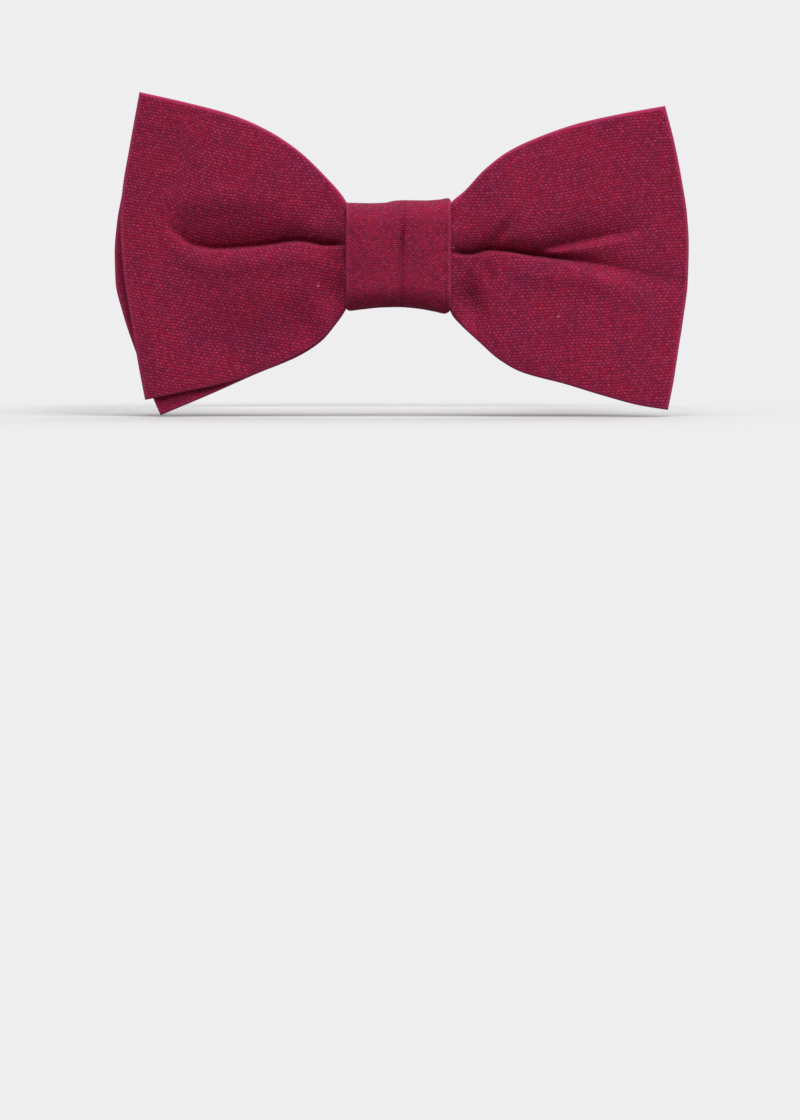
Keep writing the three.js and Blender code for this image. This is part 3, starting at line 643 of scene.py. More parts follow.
@by_name
def linen(name, warp_pitch, weft_pitch, slubs, edge_fuzz_and_highlight):
    """Burgundy linen with its own thread pitches, and its own strength of painted highlight along its turned
    edges.
    """
    colours = bpy.context.scene.tie_colours
    material, w, shader = new_material(name)
    cloth, edge = cloth_coordinates(w)
    weave = placed(w, plain_weave, {
        "Cloth": cloth, "Warp Pitch": warp_pitch / MM, "Weft Pitch": weft_pitch / MM, "Waver": 0.9,
        "Slubs": slubs})
    dye = placed(w, yarn_dye, {
        "Cloth": cloth, "Edge Distance": edge, "Edge Fuzz And Highlight": edge_fuzz_and_highlight, "Dye": rgba(colours.linen),
        "Gap Shade": rgba(colours.linen_deep), "Pale": rgba(colours.linen_pale), "Cool": rgba(colours.linen_plum),
        "Nub Colour": rgba(colours.nub)})
    fill(w, dye, {socket: weave.outputs[socket] for socket in ("Height", "Thread Tone", "Slub", "Nub")})
    fill(w, shader, {
        "Base Color": dye.outputs["Color"], "Roughness": dye.outputs["Roughness"], "Specular IOR Level": 0.12,
        "Sheen Weight": 0.06, "Sheen Roughness": 0.45, "Sheen Tint": (1.0, 0.6, 0.68, 1.0)})
    raise_surface(w, shader, weave.outputs["Height"], 0.28 * warp_pitch)
    return material


@by_name
def sewing_thread(name, colour):
    material, w, shader = new_material(name)
    twist = placed(w, thread_twist, {"Cloth": attribute(w), "Color": rgba(colour)})
    fill(w, shader, {"Base Color": twist.outputs["Color"], "Roughness": 0.7, "Specular IOR Level": 0.15})
    raise_surface(w, shader, twist.outputs["Height"], 0.02 * MM)
    return material


@by_name
def nickel(name):
    material, w, shader = new_material(name)
    plate = placed(w, satin_plate, {
        "Place": w.node("ShaderNodeTexCoord").outputs["Object"],
        "Color": rgba(bpy.context.scene.tie_colours.nickel)})
    fill(w, shader, {
        "Base Color": plate.outputs["Color"], "Roughness": plate.outputs["Roughness"], "Metallic": 1.0})
    raise_surface(w, shader, plate.outputs["Height"], 0.004 * MM)
    return material


@by_name
def woven_label(name):
    """Blank satin label: fine even threads."""
    material, w, shader = new_material(name)
    cloth, _ = cloth_coordinates(w)
    weave = placed(w, plain_weave, {
        "Cloth": cloth, "Warp Pitch": 0.26, "Weft Pitch": 0.32, "Waver": 0.05, "Slubs": 0.0})
    pale = rgba(bpy.context.scene.tie_colours.label)
    shade = w.vector_math("SCALE", pale[:3], scale=0.62)
    fill(w, shader, {
        "Base Color": w.mixed(w.spread(weave.outputs["Height"], 0.1, 0.8), shade, pale),
        "Roughness": w.spread(w.noise(cloth, 0.6, 2.0), 0.3, 0.7, 0.38, 0.55)})
    raise_surface(w, shader, weave.outputs["Height"], 0.03 * MM)
    return material


@by_name
def fleece(name):
    """Brushed interlining."""
    material, w, shader = new_material(name)
    cloth, _ = cloth_coordinates(w)
    tufts = w.noise(cloth, 2.2, 4.0)
    pale = rgba(bpy.context.scene.tie_colours.fleece)
    shade = w.vector_math("SCALE", pale[:3], scale=0.7)
    fill(w, shader, {"Base Color": w.mixed(w.spread(tufts, 0.35, 0.6), shade, pale), "Roughness": 0.95})
    raise_surface(w, shader, tufts, 0.15 * MM)
    return material


# ---- The bows ----
LEFT_CREASE = smooth_line((
    (0, 1.5), (11.6, 2.5), (16, 2.4), (19.6, 3.0), (22.7, 3.3), (28.4, 2.5), (34.1, 1.9), (39.3, 1.6),
    (44.5, 2.1), (47.6, 3.5), (50.2, 5.6), (54, 7.0), (64, 7.5)))
LEFT_DEPTH = smooth_line((
    (0, 0), (9.5, 0.6), (12, 2.2), (16, 3.4), (22, 4.3), (28, 5.2), (36, 5.5), (43, 5.0), (47.3, 3.7),
    (49.6, 1.6), (51.4, 0), (64, 0)))
LEFT_UPPER_WIDTH = smooth_line((
    (0, 2), (11.6, 1.7), (20, 2.5), (28, 4.4), (36, 6.2), (44, 6.4), (48, 5.0), (51, 3.5), (64, 3)))
LEFT_LOWER_WIDTH = 0.32
RIGHT_CREASE = smooth_line((
    (0, 1.5), (11.6, 0.7), (15.6, 0.4), (20, 1.3), (24.3, 1.0), (29.3, 0.2), (34.2, -0.4), (39.6, -0.9),
    (45.1, -1.8), (52, -3.2), (60, -5), (66, -6)))
RIGHT_DEPTH = smooth_line((
    (0, 0), (9.5, 0.6), (12, 2.2), (16, 3.2), (24, 4.2), (30, 4.8), (36, 4.2), (40, 3.3), (45, 2.0),
    (52, 1.0), (60, 0.35), (66, 0)))
RIGHT_UPPER_WIDTH = smooth_line(((0, 2), (12, 1.8), (25, 2.2), (32, 1.5), (45, 2.4), (60, 3.5), (66, 3.5)))
RIGHT_LOWER_WIDTH = smooth_line((
    (0, 0.32), (29, 0.32), (36, 0.6), (41, 1.4), (46, 2.6), (60, 4.2), (66, 4.2)))
BRANCH_CREASE = smooth_line(((20, 0.8), (29.3, 0.8), (34, 2.1), (39.6, 3.2), (50.6, 5.3), (56, 6.2), (66, 7)))
BRANCH_DEPTH = smooth_line((
    (20, 0), (26.5, 0), (30, 1.2), (34, 2.5), (40, 2.8), (46, 1.9), (52, 0.7), (57, 0), (66, 0)))
BRANCH_UPPER_WIDTH, BRANCH_LOWER_WIDTH = 2.8, 1.1
# Soft dents beside the knot: place, half sizes, depth and turn.
LEFT_DENTS = (((14.5, -8.5), (3.0, 4.0), 1.5, 0), ((20, -16), (3.5, 6.0), 1.1, -0.5),
              ((17.5, 9.5), (2.2, 5.0), 0.5, 0.7))
RIGHT_DENTS = (((22.4, 4.6), (4.2, 1.3), 1.4, math.atan2(6.2, 4.9)), ((15.6, -10.4), (2.6, 4.6), 2.5, 0.15),
               ((19.7, -4.0), (0.9, 2.6), 0.8, 0))


def valley(height, line, depth, upper_width, lower_width):
    """A pleat's depth at a height, with its own slope above and below the line."""
    off = height - line
    above = np.exp(-((np.maximum(off, 0) / upper_width) ** 1.08))
    return depth * np.where(off > 0, above, bell(off, lower_width))


def hump(value, start, top, fall, end):
    """Rises from 0 to 1 between start and top, and falls back to 0 between fall and end."""
    return ramp(value, start, top) * (1 - ramp(value, fall, end))


def crevice(out, height, crease, fall, end):
    """The fine line along the bottom of a main pleat."""
    return CREVICE_DEPTH * bell(height - crease - 0.3, 0.45) * hump(out, 11, 15, fall, end)


def dents(out, height, places):
    total = 0
    for centre, size, depth, turn in places:
        c, s = math.cos(turn), math.sin(turn)
        a, b = out - centre[0], height - centre[1]
        total = total + depth * bell(a * c + b * s, size[0]) * bell(b * c - a * s, size[1])
    return total


def left_wing(out, height):
    """How far the left wing's cloth lies back, at a distance out from the middle and a height."""
    line = LEFT_CREASE(out)
    crease = valley(height, line, LEFT_DEPTH(out), LEFT_UPPER_WIDTH(out), LEFT_LOWER_WIDTH)
    roll = -0.75 * bell(height - line + 3.4, 2.8) * hump(out, 13, 20, 44, 54)
    low = 2.6 * ramp(-height, 4, 22) * hump(out, 14, 24, 36, 54)
    lip = -0.5 * bell(height - 12.5, 3.2) * hump(out, 24, 34, 46, 55)
    return crease + crevice(out, height, line, 40, 49) + roll + lip + low + dents(out, height, LEFT_DENTS)


def right_wing(out, height):
    """The same for the right wing, whose pleat forks."""
    line = RIGHT_CREASE(out)
    main = valley(height, line, RIGHT_DEPTH(out), RIGHT_UPPER_WIDTH(out), RIGHT_LOWER_WIDTH(out))
    branch = valley(height, BRANCH_CREASE(out), BRANCH_DEPTH(out), BRANCH_UPPER_WIDTH, BRANCH_LOWER_WIDTH)
    roll = -0.6 * bell(height - line + 4.0, 2.8) * hump(out, 22, 30, 44, 56)
    return main + crevice(out, height, line, 34, 42) + branch + roll + dents(out, height, RIGHT_DENTS)


def wing_share(out):
    """0 at the knot's side and 1 at a wing's tip."""
    return np.clip((out - WRAP_HIGH[0]) / (PATTERN_HALF_WIDTH - WRAP_HIGH[0]), 0, 1)


def cloth_relief(x, z, fold_share):
    """How far a bow's cloth lies back from its flat place, with a share of the full folds."""
    depth = bpy.context.scene.bow_sizes.crease_depth
    out = np.abs(x)
    share = wing_share(out)
    folds = np.where(x < 0, left_wing(out, z), right_wing(out, z)) * depth * fold_share
    puff = WING_PUFF * ramp(share, 0, 0.28) * (1 - share) * np.cos(z / PATTERN_HALF_HEIGHT * 1.3)
    sway = WING_SWAY * share * np.sin(z / 15 + np.where(x < 0, 0.6, 2.2))
    lean = LEFT_LEAN * ramp(-x, 40, 66)
    wing = folds - puff + WING_FALL * share**2 + lean + sway
    gathers = GATHER_DEPTH * np.cos(2 * math.pi * z / GATHER_PITCH)
    return gathers + (wing - gathers) * ramp(out, 9.6, WING_START)


def bow_columns():
    """Each column's side (-1, 0 or 1) and its place: a share of the wing, or x between the wings."""
    reach = PATTERN_HALF_WIDTH - WING_START
    wing = [1 - d / reach for d in RIM] + list(np.linspace(1 - RIM[-1] / reach, 0, WING_COLUMNS)[1:-1])
    inner = list(np.arange(WING_START, 10.4, -0.2)) + list(np.linspace(10.3, 0, 12))
    columns = [(-1, q) for q in wing] + [(0, -x) for x in inner] + [(0, x) for x in inner[-2::-1]]
    return columns + [(1, q) for q in wing[::-1]]


def bow_grid(edges):
    """The places of one bow's grid: x and z in millimetres, and the distance to the nearest edge."""
    top = smooth_line([(-x, z) for x, z in edges["left_top"]] + list(PINCH_TOP) + list(edges["right_top"]))
    bottom = smooth_line(
        [(-x, z) for x, z in edges["left_bottom"]] + list(PINCH_BOTTOM) + list(edges["right_bottom"]))
    outers = {-1: smooth_line(edges["left_outer"]), 1: smooth_line(edges["right_outer"])}
    corners = {
        -1: (edges["left_bottom"][-1], edges["left_top"][-1]),
        1: (edges["right_bottom"][-1], edges["right_top"][-1]),
    }
    spread_rows = 1 - (1 - np.arange(1, HALF_ROWS + 1) / HALF_ROWS) ** 1.45
    all_x, all_z, all_edge = [], [], []
    for side, place in bow_columns():
        if side:
            low_x, high_x = (side * (WING_START + place * (x - WING_START)) for x, _ in corners[side])
        else:
            low_x = high_x = place
        low, high = float(bottom(low_x)), float(top(high_x))
        middle_x = (low_x + high_x) / 2
        crease = float((LEFT_CREASE if middle_x < 0 else RIGHT_CREASE)(abs(middle_x)))
        rim = np.array(RIM)
        lower = np.concatenate((low + rim, low + RIM[-1] + (crease - low - RIM[-1]) * spread_rows))
        upper = np.concatenate((high - rim, high - RIM[-1] - (high - RIM[-1] - crease) * spread_rows))
        z = np.concatenate((lower, upper[-2::-1]))
        t = (z - low) / (high - low)
        if side:
            (_, corner_low), (_, corner_high) = corners[side]
            outer_x = outers[side](corner_low + t * (corner_high - corner_low))
            x = side * (WING_START + place * (outer_x - WING_START))
            outer_edge = (1 - place) * (outer_x - WING_START)
        else:
            x, outer_edge = np.full_like(z, place), np.full_like(z, 99.0)
        all_x.append(x)
        all_z.append(z)
        all_edge.append(np.minimum(np.minimum(z - low, high - z), outer_edge))
    return (np.array(rows).T for rows in (all_x, all_z, all_edge))


def fold_length(places, y, axis):
    """How much longer the cloth is along an axis than its flat places, added up from the first."""
    steps = np.diff(places, axis=axis)
    more = np.hypot(steps, np.diff(y, axis=axis)) - np.abs(steps)
    return np.concatenate((np.zeros_like(np.take(y, [0], axis)), np.cumsum(more, axis=axis)), axis=axis)


def grain(x, z, y, edge):
    """The cloth's own coordinates: they follow its folds, and its grain is turned a little in each wing."""
    up = z + FOLD_FOLLOW * fold_length(z, y, 0)
    across = x + FOLD_FOLLOW * fold_length(x, y, 1)
    turn = GRAIN_TURN_LEFT + (GRAIN_TURN_RIGHT - GRAIN_TURN_LEFT) * ramp(x, -8, 8)
    turned_across = across * np.cos(turn) - up * np.sin(turn)
    turned_up = across * np.sin(turn) + up * np.cos(turn)
    return np.stack((turned_across, turned_up, np.minimum(edge, 5)), -1)


def gathered_bow(name, bow, middle, spread, fold_share, material):
    """One bow: a turned, interlined double ply, pleated into the knot."""
    x, z, edge = bow_grid(BOWS[bow])
    out = np.abs(x)
    forward = bow == "front"
    half = bpy.context.scene.bow_sizes.thickness / MM / 2
    sewn = SEWN_THINNING * ramp(edge, 2.2, 4.0) + SEWN_RIDGE * bell(edge - 1.7, 0.7)
    half = (half - SEWN_THINNING + sewn) * turned_edge(edge, RIM[-1])
    bundle = (FRONT_BUNDLE if forward else REAR_BUNDLE) * bell(out - 11.6, 2.6) * turned_edge(edge, 3.0)
    centre = middle + cloth_relief(x, z, fold_share) + spread * wing_share(out)**2
    if not forward:
        centre = centre - REAR_TIP_CURL * ramp(-z, 22, 33) * ramp(-x, 20, 48)
    front = centre - half - (bundle if forward else 0)
    back = centre + half + (0 if forward else bundle)
    cloth = grain(x, z, centre, edge)
    outer = np.stack((x * WIDER, front, z * HIGHER), -1)
    inner = np.stack((x * WIDER, back, z * HIGHER), -1)
    return closed_sheet(name, outer, inner, cloth, material)


class BOWTIE_OT_gather_bows(bpy.types.Operator):
    """Make the front and the rear bow"""

    bl_idname = "bow_tie.gather_bows"
    bl_label = "Gather the bows"

    def execute(self, context):
        sizes = context.scene.bow_sizes
        material = linen("linen_wings", sizes.warp_pitch, sizes.weft_pitch, 1.0, 0.72)
        middle = (BINDING_LOW[1] + BINDING_HIGH[1]) / 2
        for bow, place, spread, folds in (("front", middle - BOW_SPACING, 0.0, 1.0),
                                          ("rear", middle + BOW_SPACING, REAR_SPREAD, REAR_FOLD_SHARE)):
            piece = gathered_bow(f"{bow}_bow", bow, place, spread, folds, material)
            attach(piece, "bow_and_band")
            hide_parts(f"{bow}_bow_face_ply", f"{bow}_bow_interlining", f"{bow}_bow_back_ply")
        return {"FINISHED"}


# ---- The knot ----
KNOT_TOP = smooth_line((
    (-11.6, 12.0), (-11, 11.75), (-6, 11.65), (-3, 11.75), (-0.8, 12.2), (1, 12.3), (6, 12.25), (9, 12.45),
    (11, 12.75), (11.6, 12.5)))
KNOT_BOTTOM = smooth_line((
    (-11.6, 11.85), (-10.8, 12.1), (-8, 11.8), (-4, 11.4), (0, 11.3), (4, 11.6), (8, 12.3), (10.2, 12.75),
    (11.2, 12.3), (11.6, 12.0)))
WRAP_HALF_HEIGHT = 12.4
WRAP_SEAM = (-6.1, -5.9)  # heights of the wrap's two ends, on its back
WRAP_FRONT_RADIUS = 5.5
WRAP_BACK_RADIUS = 3.5
WRAP_ROWS = 156
WRAP_COLUMNS = 81
CORNER_STEPS = 12
FLEECE_GAP = 0.2  # from the wrap to the fleece
FLEECE_THICKNESS = 0.5
FLEECE_INSET = 0.6  # how much narrower the fleece is, on each side
WRAP_LENGTH, FLEECE_LENGTH = 0.0735, 0.066  # metres
CORD_RADIUS = 0.36
CORD_TURNS, CORD_STEPS = 5, 44
CORD_PITCH = 0.76
CORD_HALF_HEIGHT = 8.72
CLOSING_STITCHES = 14
CLOSING_REACH = 1.5  # above and below the seam
TACK_RADIUS = 0.22


def loop_outline(inset):
    """Round the knot's section from the seam's lower end: down, up the front and back over the top."""
    front, back = WRAP_LOW[1] + inset, WRAP_HIGH[1] - inset
    half = WRAP_HALF_HEIGHT - inset
    corners = ((back, -half, WRAP_BACK_RADIUS, 0), (front, -half, WRAP_FRONT_RADIUS, -90),
               (front, half, WRAP_FRONT_RADIUS, 180), (back, half, WRAP_BACK_RADIUS, 90))
    points = [(back, WRAP_SEAM[0])]
    for y, z, radius, start in corners:
        r = max(radius - inset, 0.4)
        cy = y + (r if y == front else -r)
        cz = z + (r if z < 0 else -r)
        for k in range(CORNER_STEPS + 1):
            a = math.radians(start - 90 * k / CORNER_STEPS)
            points.append((cy + r * math.cos(a), cz + r * math.sin(a)))
    points.append((back, WRAP_SEAM[1]))
    points = np.array(points)
    length = np.concatenate(([0], np.cumsum(np.hypot(*np.diff(points, axis=0).T))))
    rim = np.array(RIM) * 0.75
    even = np.linspace(rim[-1], length[-1] - rim[-1], WRAP_ROWS)
    at = np.concatenate((rim[:-1], even, length[-1] - rim[-2::-1]))
    return np.interp(at, length, points[:, 0]), np.interp(at, length, points[:, 1]), at, length[-1]


def wrapped_loop(name, inset, thickness, half_width, material, dent_depth):
    """A strip of cloth round the knot. Its front has a crease down the middle and soft turned sides."""
    grids = []
    rim = np.array(RIM) * 0.7
    inside = half_width - rim[-1]
    x = with_rims(half_width, rim, np.linspace(-inside, inside, WRAP_COLUMNS)[1:-1])
    for depth in (inset, inset + thickness / 2, inset + thickness):
        y, z, at, length = loop_outline(depth)
        y, z = y[:, None] + 0 * x, z[:, None] + 0 * x
        z = np.where(z > 0, z * KNOT_TOP(x) / WRAP_HALF_HEIGHT, z * KNOT_BOTTOM(x) / WRAP_HALF_HEIGHT)
        faces_front = ramp(-y, 8.0, 15.0)
        crease_x = 0.6 + 0.04 * np.maximum(z, 0)
        sharp = bell(x - crease_x, 0.45) * (0.55 + 0.9 * bell(z - 2.2, 3.4))
        hollow = dent_depth * (0.85 * sharp + 0.3 * bell(x - crease_x, 2.2))
        seam = 0.45 * bell(x - half_width + 1.2, 0.22) + 0.15 * bell(x + half_width - 1.4, 0.25)
        sides = 0.7 * (np.abs(x) / half_width) ** 5 + seam
        pillow = -0.25 * bell(z - 3, 7) * bell(np.abs(x) - 6, 3)
        grids.append(np.stack((x + 0 * y, y + faces_front * (hollow + sides + pillow), z), -1))
    outer, middle, inner = grids
    row_edge = np.minimum(at, length - at)[:, None]
    edge = np.minimum(row_edge, half_width - np.abs(x)[None, :])
    swell = turned_edge(edge, rim[-1])[..., None]
    cloth = np.stack((x + 0 * row_edge, at[:, None] + 0 * x, np.minimum(edge, 5)), -1)
    outer = middle + (outer - middle) * swell
    inner = middle + (inner - middle) * swell
    return closed_sheet(name, outer, inner, cloth, material)


class BOWTIE_OT_wrap_knot(bpy.types.Operator):
    """Make the knot's linen wrap and the fleece inside it"""

    bl_idname = "bow_tie.wrap_knot"
    bl_label = "Wrap the knot"

    def execute(self, context):
        sizes = context.scene.knot_sizes
        thickness = sizes.wrap_thickness / MM
        half_width = WRAP_HIGH[0]
        dent_depth = sizes.dent_depth / MM
        cloth = linen("linen_knot", sizes.warp_pitch, sizes.weft_pitch, 1.0, 0.4)
        wrap = wrapped_loop("knot_wrap_linen", 0.0, thickness, half_width, cloth, dent_depth)
        padding = wrapped_loop("knot_fleece", thickness + FLEECE_GAP, FLEECE_THICKNESS,
                               half_width - FLEECE_INSET, fleece("fleece"), dent_depth)
        for piece, node, slot, length in ((wrap, "knot_wrap", "linen", WRAP_LENGTH),
                                          (padding, "knot_interlining", "interlining", FLEECE_LENGTH)):
            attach(piece, "bow_and_band")
            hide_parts(node)
        return {"FINISHED"}


def cord_path():
    """Round and round the pinched bows, with the corners of a rounded box."""
    front, back = BINDING_LOW[1] + 0.4, BINDING_HIGH[1] - 0.4
    path = []
    for k in range(CORD_TURNS * CORD_STEPS + 1):
        a = 2 * math.pi * k / CORD_STEPS
        c, s = math.cos(a), math.sin(a)
        round_out = (abs(c) ** 5 + abs(s) ** 5) ** -0.2
        path.append(((k / CORD_STEPS - CORD_TURNS / 2) * CORD_PITCH,
                     (front + back) / 2 + (back - front) / 2 * c * round_out,
                     CORD_HALF_HEIGHT * s * round_out))
    return path


def closing_path():
    """To and fro over the wrap's seam."""
    low, high = box_mm("knot_closing_stitch")
    steps = CLOSING_STITCHES * 4
    path = []
    for i in range(steps + 1):
        swing = math.sin(i * math.pi / 2 + 0.3)
        lift = 0.12 + 0.16 * (1 - swing * swing)
        path.append((low[0] + i / steps * (high[0] - low[0]), WRAP_HIGH[1] + lift,
                     (low[2] + high[2]) / 2 + CLOSING_REACH * swing))
    return path


class BOWTIE_OT_bind_pleats(bpy.types.Operator):
    """Wind the binding thread, and sew the knot's closing stitch and its tack"""

    bl_idname = "bow_tie.bind_pleats"
    bl_label = "Bind the pleats"

    def execute(self, context):
        material = sewing_thread("burgundy_thread", context.scene.tie_colours.thread)
        winding, closing, tack = ThreadWork(), ThreadWork(), ThreadWork()
        winding.run(cord_path(), CORD_RADIUS, sides=8)
        closing.run(closing_path(), context.scene.band_sizes.stitch_radius / MM)
        low, high = box_mm("band_to_knot_tack")
        satin_tack(tack, (0, high[1] + 0.05, 0), (1, 0, 0), high[0] - low[0], high[2] - low[2], TACK_RADIUS,
                   (0, -1, 0))
        for work, name, node in ((winding, "binding_winding", "pleat_binding_thread"),
                                 (closing, "knot_whip_stitch", "knot_closing_stitch"),
                                 (tack, "knot_tack", "band_to_knot_tack")):
            piece = work.piece(name, material)
            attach(piece, "bow_and_band")
            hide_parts(node)
        return {"FINISHED"}


# ---- The neck band ----
class StrapPath:
    """The strap's middle line, walked step by step from above, in millimetres."""

    def __init__(self, x, y, heading):
        self.points = [(x, y, heading)]

    def ahead(self, length, step=2.0):
        x, y, heading = self.points[-1]
        for k in range(1, max(1, math.ceil(length / step)) + 1):
            d = length * k / max(1, math.ceil(length / step))
            self.points.append((x + d * math.cos(heading), y + d * math.sin(heading), heading))
        return self

    def turn(self, radius, degrees, step=2.0):
        x, y, heading = self.points[-1]
        side = math.copysign(1, degrees)
        cx, cy = x - side * radius * math.sin(heading), y + side * radius * math.cos(heading)
        angle = math.radians(degrees)
        count = max(4, math.ceil(abs(angle) * radius / step), math.ceil(abs(degrees) / 12))
        for k in range(1, count + 1):
            h = heading + angle * k / count
            self.points.append((cx + side * radius * math.sin(h), cy - side * radius * math.cos(h), h))
        return self

    def ease(self, shift, side):
        """Two small bends that move the strap sideways."""
        angle = math.degrees(math.acos(1 - shift / (2 * EASE_RADIUS)))
        return self.turn(EASE_RADIUS, side * angle, 1.0).turn(EASE_RADIUS, -side * angle, 1.0)


def ease_length(shift):
    return 2 * EASE_RADIUS * math.sin(math.acos(1 - shift / (2 * EASE_RADIUS)))


SIDE_X = BAND_HIGH[0] - STRAP_THICKNESS / 2
STRAP_MIDDLE = BAND_LOW[1] + STRAP_THICKNESS / 2
NAPE_MIDDLE = BAND_HIGH[1] - STRAP_THICKNESS / 2
STRAP_HALF_WIDTH = BAND_HIGH[2]
SIDE_START = STRAP_MIDDLE + FRONT_BEND_RADIUS
SIDE_END = NAPE_MIDDLE - BACK_BEND_RADIUS
BAR_CLOSING = 2 * BAR_FOLD_RADIUS - LAYER_PITCH
SLIDER_CLOSING = 2 * SLIDER_FOLD_RADIUS - LAYER_PITCH
SEWN_LENGTH = ease_length(SLIDER_CLOSING) + TURNED_END
HOOK_BAR = (box_mm("hook")[0][0] + 0.45, NAPE_MIDDLE - BAR_FOLD_RADIUS)
EYE_BAR = (box_mm("eye")[1][0] - 0.45, NAPE_MIDDLE - BAR_FOLD_RADIUS)
SLIDER_Y = (SLIDER_LOW[1] + SLIDER_HIGH[1]) / 2
RETURN_X = -SIDE_X + LAYER_PITCH


def half_loop(path, side):
    path.ahead(SIDE_X - FRONT_BEND_RADIUS).turn(FRONT_BEND_RADIUS, side * 90)
    return path.ahead(SIDE_END - SIDE_START).turn(BACK_BEND_RADIUS, side * 90)


def band_path():
    """From the hook's bar, round the neck through the knot, to the turned end at the eye's bar."""
    eye_side = half_loop(StrapPath(0, STRAP_MIDDLE, 0), 1).ahead(SIDE_X - BACK_BEND_RADIUS - EYE_BAR[0])
    eye_side.turn(BAR_FOLD_RADIUS, 180).ease(BAR_CLOSING, 1).ahead(TURNED_END)
    hook_side = half_loop(StrapPath(0, STRAP_MIDDLE, math.pi), -1)
    hook_side.ahead(SIDE_X - BACK_BEND_RADIUS + HOOK_BAR[0]).turn(BAR_FOLD_RADIUS, -180)
    back = [(x, y, h + math.pi) for x, y, h in hook_side.points[:0:-1]]
    return back + eye_side.points


def return_path():
    """From the hook's bar back along the inside of the band, to the sewn end."""
    path = StrapPath(HOOK_BAR[0] - 0.3, HOOK_BAR[1] - BAR_FOLD_RADIUS, math.pi).ease(BAR_CLOSING, -1)
    path.ahead(SIDE_X - BACK_BEND_RADIUS + HOOK_BAR[0] - 0.3 - ease_length(BAR_CLOSING))
    path.turn(BACK_BEND_RADIUS - LAYER_PITCH, 90)
    return path.ahead(SIDE_END - SLIDER_Y - SEWN_LENGTH - 0.15, 1.0).points


def sewn_path():
    """Round the slider's middle bar and back along itself."""
    path = StrapPath(RETURN_X, SLIDER_Y + SEWN_LENGTH, -math.pi / 2).ahead(SEWN_LENGTH, 1.0)
    return path.turn(SLIDER_FOLD_RADIUS, 180).ease(SLIDER_CLOSING, 1).ahead(TURNED_END, 1.0).points


def path_lengths(points):
    places = np.array(points)[:, :2]
    return np.concatenate(([0], np.cumsum(np.hypot(*np.diff(places, axis=0).T))))


def strap_piece(name, points, material):
    """A strap of folded linen along a path, pressed flat with rounded sides and a groove at each seam."""
    points = np.array(points)
    length = path_lengths(points)
    ends = np.array((0.08, 0.25, 0.6))
    at = np.unique(np.concatenate((length, ends, length[-1] - ends)))
    x, y, heading = (np.interp(at, length, points[:, k]) for k in range(3))
    rim = np.array(RIM) * 0.75
    z = with_rims(STRAP_HALF_WIDTH, rim, np.linspace(-STRAP_FLAT_HALF, STRAP_FLAT_HALF, STRAP_ROWS))
    side_edge = STRAP_HALF_WIDTH - np.abs(z)
    from_seam = side_edge - STITCH_INSET
    half = STRAP_THICKNESS / 2 * turned_edge(side_edge, rim[-1]) - SEAM_GROOVE * bell(from_seam, 0.35)
    puckers = SEAM_PUCKER * np.sin(at[:, None] * 2 * math.pi / STITCH_STEP) * bell(from_seam, 1.2)
    end_edge = np.minimum(at, length[-1] - at)[:, None]
    half = (half[None, :] - puckers) * turned_edge(end_edge, ends[-1])
    half = np.clip(half, 0, None)
    half[:, 0] = half[:, -1] = 0
    normal = np.stack((-np.sin(heading), np.cos(heading), 0 * heading), -1)[:, None, :]
    middle = np.stack((x[:, None] + 0 * z, y[:, None] + 0 * z, 0 * x[:, None] + z), -1)
    from_edge = np.minimum(side_edge[None, :], end_edge)
    cloth = np.stack((at[:, None] + 0 * z, 0 * at[:, None] + z, np.minimum(from_edge, 5)), -1)
    rise = normal * half[..., None]
    return closed_sheet(name, middle + rise, middle - rise, cloth, material)


def edge_stitches(work, points, radius):
    """Straight stitches along both edges of a strap, on its two faces."""
    points = np.array(points)
    length = path_lengths(points)
    inset = STRAP_HALF_WIDTH - STITCH_INSET
    bow = 0.1 * np.sin(np.linspace(0, math.pi, 5))
    for start in np.arange(1.2, length[-1] - STITCH_LENGTH - 0.8, STITCH_STEP):
        at = start + STITCH_LENGTH * np.linspace(0, 1, 5)
        x, y, heading = (np.interp(at, length, points[:, k]) for k in range(3))
        for face in (1, -1):
            lift = (STRAP_THICKNESS / 2 - 0.16 + bow + radius * 0.55) * face
            for z in (-inset, inset):
                line = (x - lift * np.sin(heading), y + lift * np.cos(heading), np.full(5, z))
                work.run(np.stack(line, -1), radius, sides=6)


